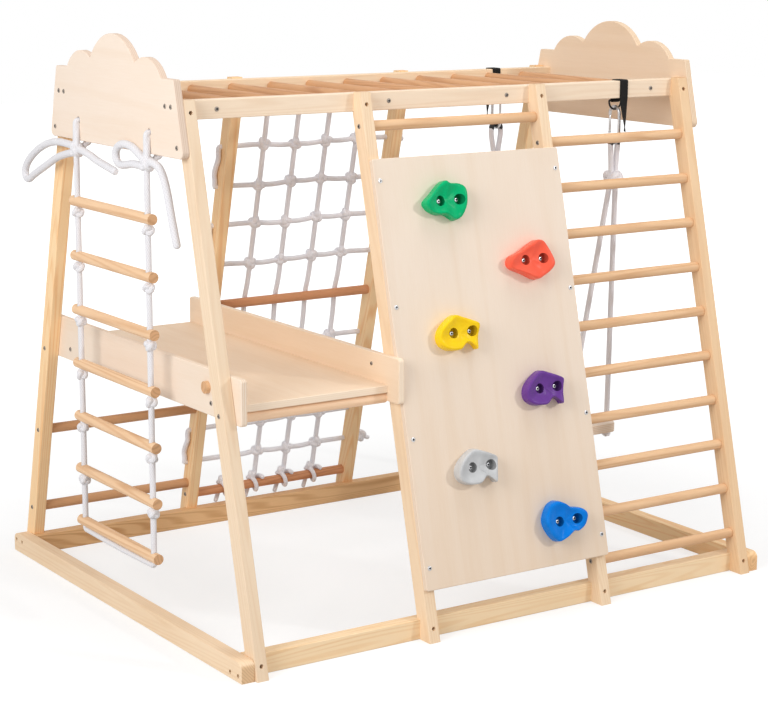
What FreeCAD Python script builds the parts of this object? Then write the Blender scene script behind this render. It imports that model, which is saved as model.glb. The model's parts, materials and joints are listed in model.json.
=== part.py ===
import FreeCAD, Part
import math
import os
import re
import Sketcher
from FreeCAD import Placement, Rotation, Vector

# Indoor playset: a leaning timber frame with a deck, a climbing wall, a net, two ladders and a swing.
# Millimetres. X runs along the frame from left to right, -Y is the front and Z is up.
# The origin is the middle of the frame, on the floor.

SIZES = {
    # Legs: the lean is in degrees
    "lean": 13.6,
    "foot_reach": 605.5,
    "leg_width": 30,
    "leg_depth": 42,
    "leg_top": 1233,
    "leg_proud": 3,
    "end_leg_x": 708,
    "mid_leg_x": 253,
    "edge_round": 2.5,
    "edge_bevel": 1.5,
    # Top rails and base rails
    "rail_thick": 30,
    "rail_height": 43,
    "rail_setback": 27,
    "base_thick": 35,
    "base_height": 48,
    "base_inset": 40.5,
    "side_rail_inset": 9.5,
    "side_rail_round": 16,
    # End boards with a three-bump top
    "board_thick": 18,
    "board_drop": 80,
    "shoulder_rise": 44,
    "board_round": 14,
    "notch_round": 5,
    "middle_bump": 134,
    "side_bump": 89,
    "shoulder_flat": 45.6,
    "tie_hole_radius": 8.5,
    "tie_hole_rise": 48,
    # Round bars and rungs
    "rung_radius": 12.5,
    "bar_pitch": 113.8,
    "socket_depth": 18,
    "ladder_low_z": 100.3,
    "ladder_pitch": 110.3,
    "cross_rung_z": 1155,
    "back_low_z": 120,
    "back_high_z": 337,
    "net_high_z": 626,
    "net_low_z": 85,
    # Deck
    "apron_thick": 15,
    "apron_overhang": 46.6,
    "apron_low": 540,
    "apron_height": 105,
    "apron_round": 8,
    "deck_thick": 18,
    "deck_rise": 20,
    "deck_front_inset": 45,
    "deck_back_inset": 5,
    "dowel_inset": 15,
    "peg_radius": 14,
    "peg_proud": 9,
    "peg_gap": 71.4,
    "peg_rise": 63,
    # Climbing wall, measured up its own slope, and holds
    "wall_thick": 15,
    "wall_overlap": 14.5,
    "wall_low": 121,
    "wall_length": 992,
    "wall_round": 6,
    "hold_width": 118,
    "hold_height": 94,
    "hold_depth": 38,
    "hold_floor": 14,
    "recess_radius": 10,
    # Net
    "net_rope": 6,
    "net_setback": 11,
    "net_pitch": 94.7,
    "net_peg_depth": 9,
    "knot_radius": 11,
    "knot_depth": 20,
    # Rope ladder on the left end
    "rope_radius": 7,
    "rope_inset": 70.93,
    "rope_rung_overhang": 22.5,
    "rope_rung_low": 177,
    "rope_rung_pitch": 131,
    "rope_knot": 14,
    "rope_knot_height": 20,
    "tie_knot": 16,
    "tie_knot_drop": 22,
    "tie_bend": 10,
    # Swing
    "swing_x": 537.5,
    "strap_width": 25,
    "strap_thick": 3,
    "strap_tail": 83,
    "strap_twist": 75,
    "strap_drift": 7,
    "ring_wire": 2.5,
    "ring_half": 19,
    "ring_side": 4,
    "ring_drop": 7,
    "hook_wire": 4,
    "hook_half": 18,
    "hook_side": 56,
    "gate_wire": 3.2,
    "gate_stub": 5,
    "swing_knot_z": 981,
    "swing_knot": 28,
    "strand_spread": 8,
    "seat_width": 160,
    "seat_length": 400,
    "seat_thick": 25,
    "seat_top": 326,
    "seat_corner": 22,
    "seat_hole_x": 66,
    "seat_hole_y": 170,
    "seat_knot": 13,
    "strand_rise": 9,
    "strand_bend": 20,
    # Fasteners and fits
    "screw_head": 4,
    "screw_head_height": 1.4,
    "bolt_radius": 3,
    "bolt_head": 5,
    "bolt_head_height": 5,
    "bolt_length": 32,
    "bolt_seat": 11,
    "bolt_well": 60,
    "bolt_spacing": 17,
    "bolt_low_z": 15,
    "bolt_high_z": 32,
    "fit": 0.3,
    "overrun": 4,
}

# Places that follow from the sizes
DERIVED = {
    "slope": "=tan(lean)",
    "leg_run": "=leg_depth / cos(lean)",
    "frame_half": "=end_leg_x + leg_width / 2",
    "mid_face": "=mid_leg_x + leg_width / 2",
    "rail_top": "=leg_top - leg_proud",
    "rail_low": "=rail_top - rail_height",
    "bar_level": "=rail_top - rail_height / 2",
    "rail_reach": "=foot_reach - slope * rail_top - rail_setback",
    "rail_in": "=rail_reach - rail_thick",
    "base_reach": "=foot_reach - base_inset",
    "side_rail_reach": "=foot_reach - side_rail_inset",
    "board_low": "=rail_low - board_drop",
    "board_shoulder": "=leg_top + shoulder_rise",
    "board_face": "=frame_half + board_thick",
    "board_low_half": "=foot_reach - slope * board_low",
    "board_high_half": "=foot_reach - slope * board_shoulder",
    "side_bump_y": "=board_high_half - shoulder_flat - side_bump",
    "tie_hole_z": "=board_low + tie_hole_rise",
    "deck_top": "=apron_low + deck_rise + deck_thick",
    "apron_reach": "=foot_reach - slope * (apron_low + deck_rise) - leg_run / 2 + apron_overhang",
    "deck_front": "=apron_reach - deck_front_inset",
    "deck_back": "=apron_reach - deck_back_inset",
    "peg_y": "=foot_reach - slope * (apron_low + peg_rise) - leg_run - peg_gap",
    "left_apron_x": "=frame_half - leg_width - apron_thick / 2",
    "right_apron_x": "=mid_face + apron_thick / 2",
    "dowel_z": "=apron_low + deck_rise - rung_radius - fit",
    "wall_half": "=mid_face + wall_overlap - leg_width / 2",
    "net_y": "=net_setback - leg_depth / 2",
    "net_top": "=(bar_level - net_y * sin(lean)) / cos(lean)",
    "net_low": "=(net_low_z - net_y * sin(lean)) / cos(lean)",
    "link_x": "=mid_face + net_rope + fit",
    "ladder_x": "=board_face + fit + rope_radius",
    "rope_y": "=rail_in - rope_inset",
    "rope_rung_half": "=rope_y + rope_rung_overhang",
    "tie_knot_z": "=board_low - tie_knot_drop",
    "ring_y": "=rail_in - fit - strap_thick / 2",
    "ring_z": "=rail_low - ring_drop",
    "ring_low": "=ring_z - ring_side - ring_half",
    "swing_axis_z": "=ring_low + ring_wire + hook_wire + fit",
    "hook_high": "=swing_axis_z - hook_half",
    "hook_low": "=hook_high - hook_side",
    "hook_end": "=hook_low - hook_half",
    "eye_half": "=hook_wire + fit + rope_radius",
    "gate_low": "=hook_low + gate_stub + fit + gate_wire",
    "gate_high": "=hook_high - gate_stub - fit",
    "tail_y": "=rail_reach + fit + strap_thick / 2",
}

# Counts of repeated pieces
BAR_COUNT = 12
LADDER_COUNT = 10
ROPE_RUNG_COUNT = 7
NET_LINES = 4
FASTENER_SIDES = 6
ROPE_SIDES = 8
SLEEVE_SIDES = 12
HOLD_SIDES = 30
BEND_STEPS = 8

# Shares, chosen by hand, of the sizes that they follow
NET_ROW_SHARES = (0.872, 0.786, 0.699, 0.611, 0.416, 0.322, 0.227, 0.150)
WALL_SCREW_SHARES = (0.052, 0.350, 0.656, 0.949)
BOARD_SCREW_SHARES = ((0.84, 0.65), (0.76, 0.65), (0.915, 0.14))
HOLD_SECTION_SHARES = ((0.0, 1.0), (0.40, 0.98), (0.72, 0.90), (0.90, 0.78), (1.0, 0.58))
TIE_END_SHARE = 0.68
KNOT_SHARES = ((-0.5, 0.6), (-0.22, 1.0), (0.22, 1.0), (0.5, 0.6))
PARALLEL_SHARE = 0.999

# Hold outlines as shares of the hold's width and height, and the shares that place their two screws
NOTCHED = (
    (-0.05, 0.45), (0.14, 0.38), (0.36, 0.27), (0.50, 0.17), (0.49, 0.00), (0.44, -0.22), (0.40, -0.46),
    (0.32, -0.34), (0.20, -0.27), (0.10, -0.33), (-0.03, -0.43), (-0.29, -0.40), (-0.46, -0.26),
    (-0.50, -0.06), (-0.42, 0.15), (-0.25, 0.33),
)
LOBED = (
    (-0.50, -0.01), (-0.42, -0.20), (-0.24, -0.32), (-0.03, -0.35), (0.17, -0.50), (0.36, -0.42),
    (0.49, -0.14),
    (0.51, 0.25), (0.38, 0.40), (0.15, 0.43), (0.02, 0.50), (-0.12, 0.40), (-0.31, 0.20),
)
WEDGE = (
    (-0.55, 0.00), (-0.50, -0.17), (-0.22, -0.33), (0.08, -0.51), (0.30, -0.45), (0.52, -0.28), (0.58, -0.05),
    (0.42, 0.40), (0.25, 0.49), (0.08, 0.43), (-0.22, 0.24), (-0.46, 0.14),
)
SADDLE = (
    (-0.16, 0.53), (0.04, 0.44), (0.20, 0.32), (0.45, 0.25), (0.58, 0.08), (0.51, -0.20), (0.34, -0.32),
    (0.18, -0.30), (-0.02, -0.45), (-0.22, -0.50), (-0.40, -0.28), (-0.50, 0.06), (-0.36, 0.41),
)
HOLDS = {
    "green_hold": (LOBED, (-0.335, 0.890)),
    "red_hold": (WEDGE, (0.498, 0.733)),
    "yellow_hold": (NOTCHED, (-0.372, 0.581)),
    "purple_hold": (NOTCHED, (0.472, 0.425)),
    "grey_hold": (NOTCHED, (-0.353, 0.266)),
    "blue_hold": (SADDLE, (0.506, 0.104)),
}
HOLD_SCREW_SHARES = ((-0.18, 0.0), (0.25, 0.0))

# Routes of the free rope ends beside the rope ladder: steps along Y and Z from the knot that they leave
LEFT_LOOP = (
    (16.2, 9), (88, 14), (162, 3), (228, -21), (282, -53), (301, -81), (283, -101), (244, -81), (172, -53),
    (90, -19), (16.2, -7.5),
)
LEFT_TAIL = ((-16.5, 3), (-60, -2), (-106, -15), (-154, -23), (-200, -31))
RIGHT_LOOP = (
    (16.5, 9), (50, 27), (88, 35), (122, 31), (148, 19), (155, 1), (138, -12), (102, -9), (58, -4),
    (16.5, -7.5),
)
RIGHT_TAIL = ((-16.5, 6), (-46, 5), (-74, -13), (-96, -55), (-112, -107), (-135, -165))

DIRECTIONS = {
    "+X": Rotation(Vector(0, 1, 0), 90),
    "-X": Rotation(Vector(0, 1, 0), -90),
    "+Y": Rotation(Vector(1, 0, 0), -90),
    "-Y": Rotation(Vector(1, 0, 0), 90),
    "+Z": Rotation(),
    "-Z": Rotation(Vector(1, 0, 0), 180),
}
LEGS = {"left": "-end_leg_x", "mid_left": "-mid_leg_x", "mid_right": "mid_leg_x", "right": "end_leg_x"}
SIDES = {"front": -1, "back": 1}

doc = FreeCAD.newDocument("playset")
sheet = doc.addObject("Spreadsheet::Sheet", "Sizes")
for row, (alias, value) in enumerate({**SIZES, **DERIVED}.items(), start=1):
    sheet.set(f"A{row}", alias)
    sheet.set(f"B{row}", str(value))
    sheet.setAlias(f"B{row}", alias)
doc.recompute()
ALIASES = re.compile(r"\b(" + "|".join([*SIZES, *DERIVED]) + r")\b")
nodes = {}


# Helpers

def cell(expression):
    """Write the sheet's name before each alias of an expression."""
    return ALIASES.sub(r"Sizes.\1", str(expression))


def number(expression):
    """The value of an expression of the sheet's aliases."""
    return float(sheet.evalExpression(cell(expression)))


def bind(feature, **expressions):
    """Bind properties of an object to the sheet."""
    for name, expression in expressions.items():
        feature.setExpression(name, cell(expression))
    return feature


def place(feature, x=0, y=0, z=0):
    """Bind an object's place to the sheet."""
    for axis, expression in zip("xyz", (x, y, z)):
        feature.setExpression(f"Placement.Base.{axis}", cell(expression))
    return feature


def tilt(feature, side):
    """Lay an upright object, made against the plane y = 0, on the front or the back plane of the legs."""
    feature.Placement = Placement(Vector(), Rotation(Vector(SIDES[side], 0, 0), number("lean")))
    feature.setExpression("Placement.Rotation.Angle", cell("lean"))
    return place(feature, y=f"{SIDES[side]} * foot_reach")


def leg_middle(side, z):
    """Y of the middle of a leg's depth at a height."""
    return f"{SIDES[side]} * (foot_reach - slope * ({z}) - leg_run / 2)"


def node(name, feature):
    """Keep an object as a piece of the playset, under its own name."""
    feature.Label = name
    nodes[name] = feature
    return feature


def body(name):
    return doc.addObject("PartDesign::Body", name)


def sketch_on(owner, role, name):
    """Add an empty sketch on one of a body's own origin planes."""
    sketch = owner.newObject("Sketcher::SketchObject", name)
    plane = next(feature for feature in owner.Origin.OriginFeatures if feature.Role == role)
    sketch.AttachmentSupport = [(plane, "")]
    sketch.MapMode = "FlatFace"
    return sketch


def fix_point(sketch, geometry, end, x, y):
    """Tie one point of a sketch to the sketch's origin by two bound distances."""
    for kind, expression in (("DistanceX", x), ("DistanceY", y)):
        constraint = Sketcher.Constraint(kind, -1, 1, geometry, end, number(expression))
        index = sketch.addConstraint(constraint)
        sketch.setExpression(f"Constraints[{index}]", cell(expression))


def polygon(owner, role, name, corners):
    """Add a closed sketch of straight sides whose corners are expressions."""
    sketch = sketch_on(owner, role, name)
    points = [Vector(number(x), number(y), 0) for x, y in corners]
    for index, point in enumerate(points):
        following = points[(index + 1) % len(points)]
        sketch.addGeometry(Part.LineSegment(point, following), False)
    for index in range(len(points)):
        sketch.addConstraint(Sketcher.Constraint("Coincident", index, 2, (index + 1) % len(points), 1))
    for index, (x, y) in enumerate(corners):
        fix_point(sketch, index, 1, x, y)
    return sketch


def rectangle(owner, role, name, low, high):
    return polygon(owner, role, name, [low, (high[0], low[1]), high, (low[0], high[1])])


def half_disc(owner, role, name, x, y, radius):
    """Add a sketch of a half disc that stands on its straight side."""
    sketch = sketch_on(owner, role, name)
    centre = Vector(number(x), number(y), 0)
    size = number(radius)
    circle = Part.Circle(centre, Vector(0, 0, 1), size)
    arc = sketch.addGeometry(Part.ArcOfCircle(circle, 0, math.pi), False)
    base = sketch.addGeometry(Part.LineSegment(centre - Vector(size, 0, 0), centre + Vector(size, 0, 0)),
                              False)
    sketch.addConstraint(Sketcher.Constraint("Coincident", arc, 2, base, 1))
    sketch.addConstraint(Sketcher.Constraint("Coincident", arc, 1, base, 2))
    sketch.addConstraint(Sketcher.Constraint("Horizontal", base))
    sketch.addConstraint(Sketcher.Constraint("PointOnObject", arc, 3, base))
    fix_point(sketch, arc, 3, x, y)
    index = sketch.addConstraint(Sketcher.Constraint("Radius", arc, size))
    sketch.setExpression(f"Constraints[{index}]", cell(radius))
    return sketch


def pad(owner, sketch, length, middle=True):
    """Give a sketch a thickness, to both sides of its plane or to one."""
    feature = owner.newObject("PartDesign::Pad", sketch.Name + "_pad")
    feature.Profile = sketch
    feature.Midplane = middle
    return bind(feature, Length=length)


def ease(owner, base, radius, wanted):
    """Round the edges of a body's feature that a test picks."""
    doc.recompute()
    edges = [f"Edge{index}" for index, edge in enumerate(base.Shape.Edges, start=1) if wanted(edge)]
    feature = owner.newObject("PartDesign::Fillet", base.Name + "_round")
    feature.Base = (base, edges)
    return bind(feature, Radius=radius)


def bevel(owner, base, wanted):
    """Break the edges of a body's feature that a test picks."""
    doc.recompute()
    edges = [f"Edge{index}" for index, edge in enumerate(base.Shape.Edges, start=1) if wanted(edge)]
    feature = owner.newObject("PartDesign::Chamfer", base.Name + "_bevel")
    feature.Base = (base, edges)
    return bind(feature, Size="edge_bevel")


def runs_along(direction, above=-math.inf, below=math.inf):
    """A test for straight edges along a direction, between two levels if they are given."""
    def wanted(edge):
        straight = edge.Curve.TypeId == "Part::GeomLine"
        along = straight and abs(edge.Curve.Direction.dot(direction)) > PARALLEL_SHARE
        return along and above < edge.CenterOfMass.z < below
    return wanted


def crosses(direction):
    """A test for edges that lie square to a direction, straight or round."""
    def wanted(edge):
        box = edge.BoundBox
        spread = Vector(box.XLength, box.YLength, box.ZLength)
        return spread.dot(direction) < number("fit")
    return wanted


def rod(name, radius, length, into, x, y, z):
    """Add a round bar that starts at a point and runs in one of the six directions."""
    feature = doc.addObject("Part::Cylinder", name)
    feature.Placement = Placement(Vector(), DIRECTIONS[into])
    bind(feature, Radius=radius, Height=length)
    return place(feature, x, y, z)


def prism(name, radius, length, into, x, y, z, sides=FASTENER_SIDES):
    """Add a bar of a few flat sides that starts at a point."""
    feature = doc.addObject("Part::Prism", name)
    feature.Polygon = sides
    feature.Placement = Placement(Vector(), DIRECTIONS[into])
    bind(feature, Circumradius=radius, Height=length)
    return place(feature, x, y, z)


def block(name, low, high):
    """Add a box between two corners."""
    feature = doc.addObject("Part::Box", name)
    sizes = [f"({b}) - ({a})" for a, b in zip(low, high)]
    bind(feature, Length=sizes[0], Width=sizes[1], Height=sizes[2])
    return place(feature, *low)


def group(name, members):
    feature = doc.addObject("Part::Compound", name)
    feature.Links = members
    return feature


def fuse(name, members):
    feature = doc.addObject("Part::MultiFuse", name)
    feature.Shapes = members
    feature.Refine = True
    return feature


def cut(name, base, *tools):
    """Cut one or more tools out of an object."""
    for index, tool in enumerate(tools):
        feature = doc.addObject("Part::Cut", f"{name}_cut_{index}")
        feature.Base = base
        feature.Tool = tool
        base = feature
    return base


def solid(name, shape):
    """Keep a free form as an object of its own."""
    feature = doc.addObject("Part::Feature", name)
    feature.Shape = shape
    return feature


def bolts(name, specs):
    """Make a group of headed bolts, with the wells and the bores that clear them."""
    heads, shanks, wells, bores = [], [], [], []
    for index, (into, x, y, z) in enumerate(specs):
        out = ("-" if into[0] == "+" else "+") + into[1]
        tag = f"{name}_{index}"
        heads.append(prism(tag + "_head", "bolt_head", "bolt_head_height", out, x, y, z))
        shanks.append(prism(tag + "_shank", "bolt_radius", "bolt_length", into, x, y, z))
        wells.append(prism(tag + "_well", "bolt_head + fit", "bolt_well", out, x, y, z))
        bores.append(prism(tag + "_bore", "bolt_radius + fit", "bolt_length + fit", into, x, y, z))
    feature = doc.addObject("Part::Fuse", name)
    feature.Base = group(name + "_heads", heads)
    feature.Tool = group(name + "_shanks", shanks)
    node(name, feature)
    return group(name + "_wells", wells), group(name + "_bores", bores)


def screws(name, specs):
    """Make a group of low screw heads, each seated on the face that it holds."""
    heads = []
    for index, (into, x, y, z) in enumerate(specs):
        out = ("-" if into[0] == "+" else "+") + into[1]
        heads.append(prism(f"{name}_{index}", "screw_head", "screw_head_height", out, x, y, z))
    return node(name, group(name, heads))


def joined(first, others):
    """One form made of several that overlap, joined one after another."""
    for other in others:
        first = first.fuse(other)
    return first.removeSplitter()


def ring_of_points(centre, direction, radius, sides=ROPE_SIDES):
    """A closed polygon round a point, square to a direction."""
    turn = Rotation(Vector(0, 0, 1), direction)
    corners = []
    for index in range(sides + 1):
        angle = 2 * math.pi * (index % sides) / sides
        corners.append(centre + turn.multVec(Vector(radius * math.cos(angle), radius * math.sin(angle), 0)))
    return Part.makePolygon(corners)


def faceted_bar(start, end, radius, sides=ROPE_SIDES):
    """A straight bar of a few flat sides."""
    rings = [ring_of_points(point, end - start, radius, sides) for point in (start, end)]
    return Part.makeLoft(rings, True, True)


def knot(centre, axis, radius, height):
    """A knot like a small barrel, widest in the middle."""
    rings = [ring_of_points(centre + axis * (along * height), axis, radius * wide)
             for along, wide in KNOT_SHARES]
    return Part.makeLoft(rings, True, True)


def swept(path, radius):
    """A bar of a few flat sides along a path of lines and arcs."""
    first = path.OrderedEdges[0]
    start = path.OrderedVertexes[0].Point
    section = ring_of_points(start, first.tangentAt(first.FirstParameter), radius)
    return path.makePipeShell([section], True, False)


def bend_points(centre, first, second):
    """Points of a half turn from one arm to its opposite, through a second arm."""
    angles = [math.pi * step / BEND_STEPS for step in range(BEND_STEPS + 1)]
    return [centre + first * math.cos(angle) + second * math.sin(angle) for angle in angles]


def bent_bar(points, normal, radius):
    """A bar of a few flat sides along points that lie in one plane."""
    rings = []
    for index, point in enumerate(points):
        before, after = points[max(index - 1, 0)], points[min(index + 1, len(points) - 1)]
        aside = normal.cross(after - before).normalize()
        corners = []
        for side in range(ROPE_SIDES + 1):
            angle = 2 * math.pi * (side % ROPE_SIDES + 0.5) / ROPE_SIDES
            corners.append(point + normal * (radius * math.cos(angle)) + aside * (radius * math.sin(angle)))
        rings.append(Part.makePolygon(corners))
    return Part.makeLoft(rings, True, True)


def cord_path(points, bend_share=0.45, bend_radius=None):
    """Straight runs joined by tangent arcs, each as large as its two runs allow unless a radius is given."""
    edges = []
    radii = []
    start = points[0]
    for before, corner, after in zip(points, points[1:], points[2:]):
        back = (before - corner).normalize()
        ahead = (after - corner).normalize()
        half_turn = (math.pi - back.getAngle(ahead)) / 2
        shorter = min((before - corner).Length, (after - corner).Length)
        bend = bend_radius or bend_share * shorter / math.tan(half_turn)
        reach = bend * math.tan(half_turn)
        depth = bend / math.cos(half_turn) - bend
        begin, end = corner + back * reach, corner + ahead * reach
        edges.append(Part.LineSegment(start, begin).toShape())
        edges.append(Part.Arc(begin, corner + (back + ahead).normalize() * depth, end).toShape())
        radii.append(bend)
        start = end
    edges.append(Part.LineSegment(start, points[-1]).toShape())
    return Part.Wire(edges), radii


def cord_tube(name, points, radius, **bends):
    """A rope along a path, with its volume compared with its section times its length."""
    path, radii = cord_path(points, **bends)
    tube = swept(path, radius)
    section_area = ROPE_SIDES / 2 * radius ** 2 * math.sin(2 * math.pi / ROPE_SIDES)
    share = tube.Volume / (section_area * path.Length)
    print(f"{name}: length {path.Length:.0f}, least radius {min(radii):.1f}, volume share {share:.4f}")
    return tube


# Bolts that hold the legs to the rails, and the side rails to the frame

leg_bolt_specs = []
base_bolt_specs = []
for side, sign in SIDES.items():
    inward = "+Y" if sign < 0 else "-Y"
    foot_z, end_z = ("bolt_high_z", "bolt_low_z") if sign < 0 else ("bolt_low_z", "bolt_high_z")
    for leg_x in LEGS.values():
        leg_bolt_specs.append((inward, leg_x, f"{sign} * (rail_reach + bolt_seat)",
                               "bar_level - bolt_radius"))
        leg_bolt_specs.append((inward, leg_x, f"{sign} * (base_reach + bolt_seat)", foot_z))
    for end, into in ((-1, "+X"), (1, "-X")):
        for reach in ("base_reach - base_thick / 2", "base_reach + bolt_spacing"):
            seat = f"{end} * (frame_half + base_thick - bolt_seat)"
            base_bolt_specs.append((into, seat, f"{sign} * ({reach})", end_z))
leg_wells, leg_bores = bolts("leg_bolts", leg_bolt_specs)
base_wells, base_bores = bolts("base_bolts", base_bolt_specs)
bolt_tools = (leg_wells, leg_bores, base_wells, base_bores)

# Places of the net's rope along its own slope, and the holes that it needs in the two back legs beside it

net_rows = [f"{share} * net_top" for share in NET_ROW_SHARES]
net_holes = []
for index, row in enumerate(net_rows):
    name = f"net_hole_{index}"
    net_holes.append(prism(name, "net_rope + 2 * fit", "2 * (link_x + overrun)", "+X", "-(link_x + overrun)",
                           "net_y", row,
                           ROPE_SIDES))
net_bores = tilt(group("net_bores", net_holes), "back")

# Legs: a leaning bar, notched on its inner side for the base rail and for the top rail

LEG_CORNERS = (
    ("-foot_reach", 0),
    ("-base_reach", 0),
    ("-base_reach", "base_height"),
    ("leg_run + slope * base_height - foot_reach", "base_height"),
    ("leg_run + slope * rail_low - foot_reach", "rail_low"),
    ("-rail_reach", "rail_low"),
    ("-rail_reach", "leg_top"),
    ("slope * leg_top - foot_reach", "leg_top"),
)
for side, sign in SIDES.items():
    for leg, leg_x in LEGS.items():
        name = f"{side}_leg_{leg}"
        owner = body(name + "_blank")
        outline = polygon(owner, "YZ_Plane", name + "_outline",
                          [(f"{-sign} * ({y})", z) for y, z in LEG_CORNERS])
        bar = pad(owner, outline, "leg_width")
        lean_direction = Vector(0, -sign * math.sin(math.radians(number("lean"))),
                                math.cos(math.radians(number("lean"))))
        ease(owner, bar, "edge_round", runs_along(lean_direction))
        place(owner, x=leg_x)
        tools = bolt_tools
        if side == "back" and leg.startswith("mid"):
            tools = bolt_tools + (net_bores,)
        node(name, cut(name, owner, *tools))

# Round bars between the top rails, in blind sockets

bars = []
sockets = []
for index in range(BAR_COUNT):
    bar_x = f"{index - (BAR_COUNT - 1) / 2} * bar_pitch"
    bar_end = "rail_in + socket_depth"
    bars.append(rod(f"bar_{index}", "rung_radius", f"2 * ({bar_end} - fit)", "+Y", bar_x,
                    f"fit - ({bar_end})", "bar_level"))
    sockets.append(rod(f"socket_{index}", "rung_radius + fit", f"2 * ({bar_end})", "+Y", bar_x,
                       f"-({bar_end})", "bar_level"))
node("monkey_bars", group("monkey_bars", bars))
bar_sockets = group("bar_sockets", sockets)

# Holes in the back top rail for the ends of the net's upright ropes

net_line_x = [f"{index - (NET_LINES - 1) / 2} * net_pitch" for index in range(NET_LINES)]
net_pegs = []
for index, line_x in enumerate(net_line_x):
    net_pegs.append(prism(f"peg_hole_{index}", "net_rope + 2 * fit", "net_peg_depth + overrun", "-Y", line_x,
                          "rail_reach + overrun", "bar_level", ROPE_SIDES))
net_peg_holes = group("net_peg_holes", net_pegs)

# Top rails and base rails

for side, sign in SIDES.items():
    name = f"{side}_top_rail"
    owner = body(name + "_blank")
    outline = rectangle(owner, "YZ_Plane", name + "_outline", (f"{sign} * rail_reach", "rail_low"),
                        (f"{sign} * rail_in", "rail_top"))
    ease(owner, pad(owner, outline, "2 * frame_half"), "edge_round", runs_along(Vector(1, 0, 0)))
    tools = (leg_bores, bar_sockets)
    if side == "back":
        tools = tools + (net_peg_holes,)
    node(name, cut(name, owner, *tools))

    name = f"{side}_base_rail"
    owner = body(name + "_blank")
    outline = rectangle(owner, "YZ_Plane", name + "_outline", (f"{sign} * base_reach", 0),
                        (f"{sign} * (base_reach - base_thick)", "base_height"))
    ease(owner, pad(owner, outline, "2 * frame_half"), "edge_round", runs_along(Vector(1, 0, 0)))
    node(name, cut(name, owner, leg_bores, base_bores))

for end, sign in (("left", -1), ("right", 1)):
    name = f"{end}_base_rail"
    owner = body(name + "_blank")
    outline = rectangle(owner, "YZ_Plane", name + "_outline", ("-side_rail_reach", 0),
                        ("side_rail_reach", "base_height"))
    bar = pad(owner, outline, "base_thick")
    rounded = ease(owner, bar, "side_rail_round", runs_along(Vector(1, 0, 0), number("base_height / 2")))
    bevel(owner, rounded, crosses(Vector(1, 0, 0)))
    place(owner, x=f"{sign} * (frame_half + base_thick / 2)")
    node(name, cut(name, owner, base_wells, base_bores))

# End boards: sides flush with the legs and three round bumps on top

tie_holes = []
for index, sign in enumerate((-1, 1)):
    tie_holes.append(rod(f"tie_hole_{index}", "tie_hole_radius", "board_thick + 2 * overrun", "-X",
                         "overrun - frame_half", f"{sign} * rope_y", "tie_hole_z"))
tie_bores = group("tie_bores", tie_holes)
for end, sign in (("left", -1), ("right", 1)):
    name = f"{end}_end_board"
    owner = body(name + "_blank")
    corners = [("-board_low_half", "board_low"), ("board_low_half", "board_low"),
               ("board_high_half", "board_shoulder"), ("-board_high_half", "board_shoulder")]
    pad(owner, polygon(owner, "YZ_Plane", name + "_outline", corners), "board_thick")
    for bump, (bump_y, bump_radius) in enumerate((("-side_bump_y", "side_bump"), (0, "middle_bump"),
                                                  ("side_bump_y", "side_bump"))):
        top = pad(owner, half_disc(owner, "YZ_Plane", f"{name}_bump_{bump}", bump_y, "rail_top", bump_radius),
                  "board_thick")
    eased = ease(owner, top, "notch_round", runs_along(Vector(1, 0, 0),
                                                       above=number("board_shoulder - overrun")))
    eased = ease(owner, eased, "board_round", runs_along(Vector(1, 0, 0),
                                                         below=number("board_low + overrun")))
    bevel(owner, eased, crosses(Vector(1, 0, 0)))
    place(owner, x=f"{sign} * (frame_half + board_thick / 2)")
    node(name, cut(name, owner, tie_bores) if end == "left" else owner)

# Rungs between the legs

ladder_rungs = []
rung_screw_specs = []


def rung(name, side, x_from, x_to, z, left_screw=True):
    """Add a rung between two legs, with the screws that hold it through the legs."""
    y = leg_middle(side, z)
    if left_screw:
        rung_screw_specs.append(("+X", f"{x_from} - leg_width", y, z))
    rung_screw_specs.append(("-X", f"{x_to} + leg_width", y, z))
    return rod(name, "rung_radius", f"({x_to}) - ({x_from})", "+X", x_from, y, z)


for index in range(LADDER_COUNT):
    ladder_rungs.append(rung(f"ladder_rung_{index}", "front", "mid_face", "frame_half - leg_width",
                             f"ladder_low_z + {index} * ladder_pitch"))
node("ladder_rungs", group("ladder_rungs", ladder_rungs))
node("front_cross_rung", rung("front_cross_rung", "front", "leg_width - mid_face", "mid_face - leg_width",
                              "cross_rung_z"))
for name, z in (("back_low_rung", "back_low_z"), ("back_high_rung", "back_high_z")):
    node(name, rung(name, "back", "leg_width - frame_half", "-mid_face", z))
node("net_low_rung", rung("net_low_rung", "back", "leg_width - mid_face", "mid_face - leg_width",
                          "net_low_z"))
node("net_high_rung", rung("net_high_rung", "back", "leg_width - mid_face", "mid_face - leg_width",
                           "net_high_z",
                           left_screw=False))

# Deck between two side boards, with a dowel under each end

for side, dowel_y in (("front", "dowel_inset - deck_front"),
                      ("back", "deck_back - dowel_inset - 3 * rung_radius")):
    name = f"{side}_deck_dowel"
    length = "left_apron_x - right_apron_x - apron_thick"
    node(name, rod(name, "rung_radius", length, "+X", "apron_thick / 2 - left_apron_x", dowel_y, "dowel_z"))
for end, apron_x in (("left", "-left_apron_x"), ("right", "-right_apron_x")):
    name = f"{end}_deck_board"
    owner = body(name)
    outline = rectangle(owner, "YZ_Plane", name + "_outline", ("-apron_reach", "apron_low"),
                        ("apron_reach", "apron_low + apron_height"))
    rounded = ease(owner, pad(owner, outline, "apron_thick"), "apron_round", runs_along(Vector(1, 0, 0)))
    bevel(owner, rounded, crosses(Vector(1, 0, 0)))
    node(name, place(owner, x=apron_x))
owner = body("deck")
outline = rectangle(owner, "XY_Plane", "deck_outline", ("apron_thick / 2 - left_apron_x", "-deck_front"),
                    ("-(right_apron_x + apron_thick / 2)", "deck_back"))
ease(owner, pad(owner, outline, "deck_thick", middle=False), "edge_round", runs_along(Vector(1, 0, 0)))
node("deck", place(owner, z="apron_low + deck_rise"))
apron_outer = "-(left_apron_x + apron_thick / 2)"
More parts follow.
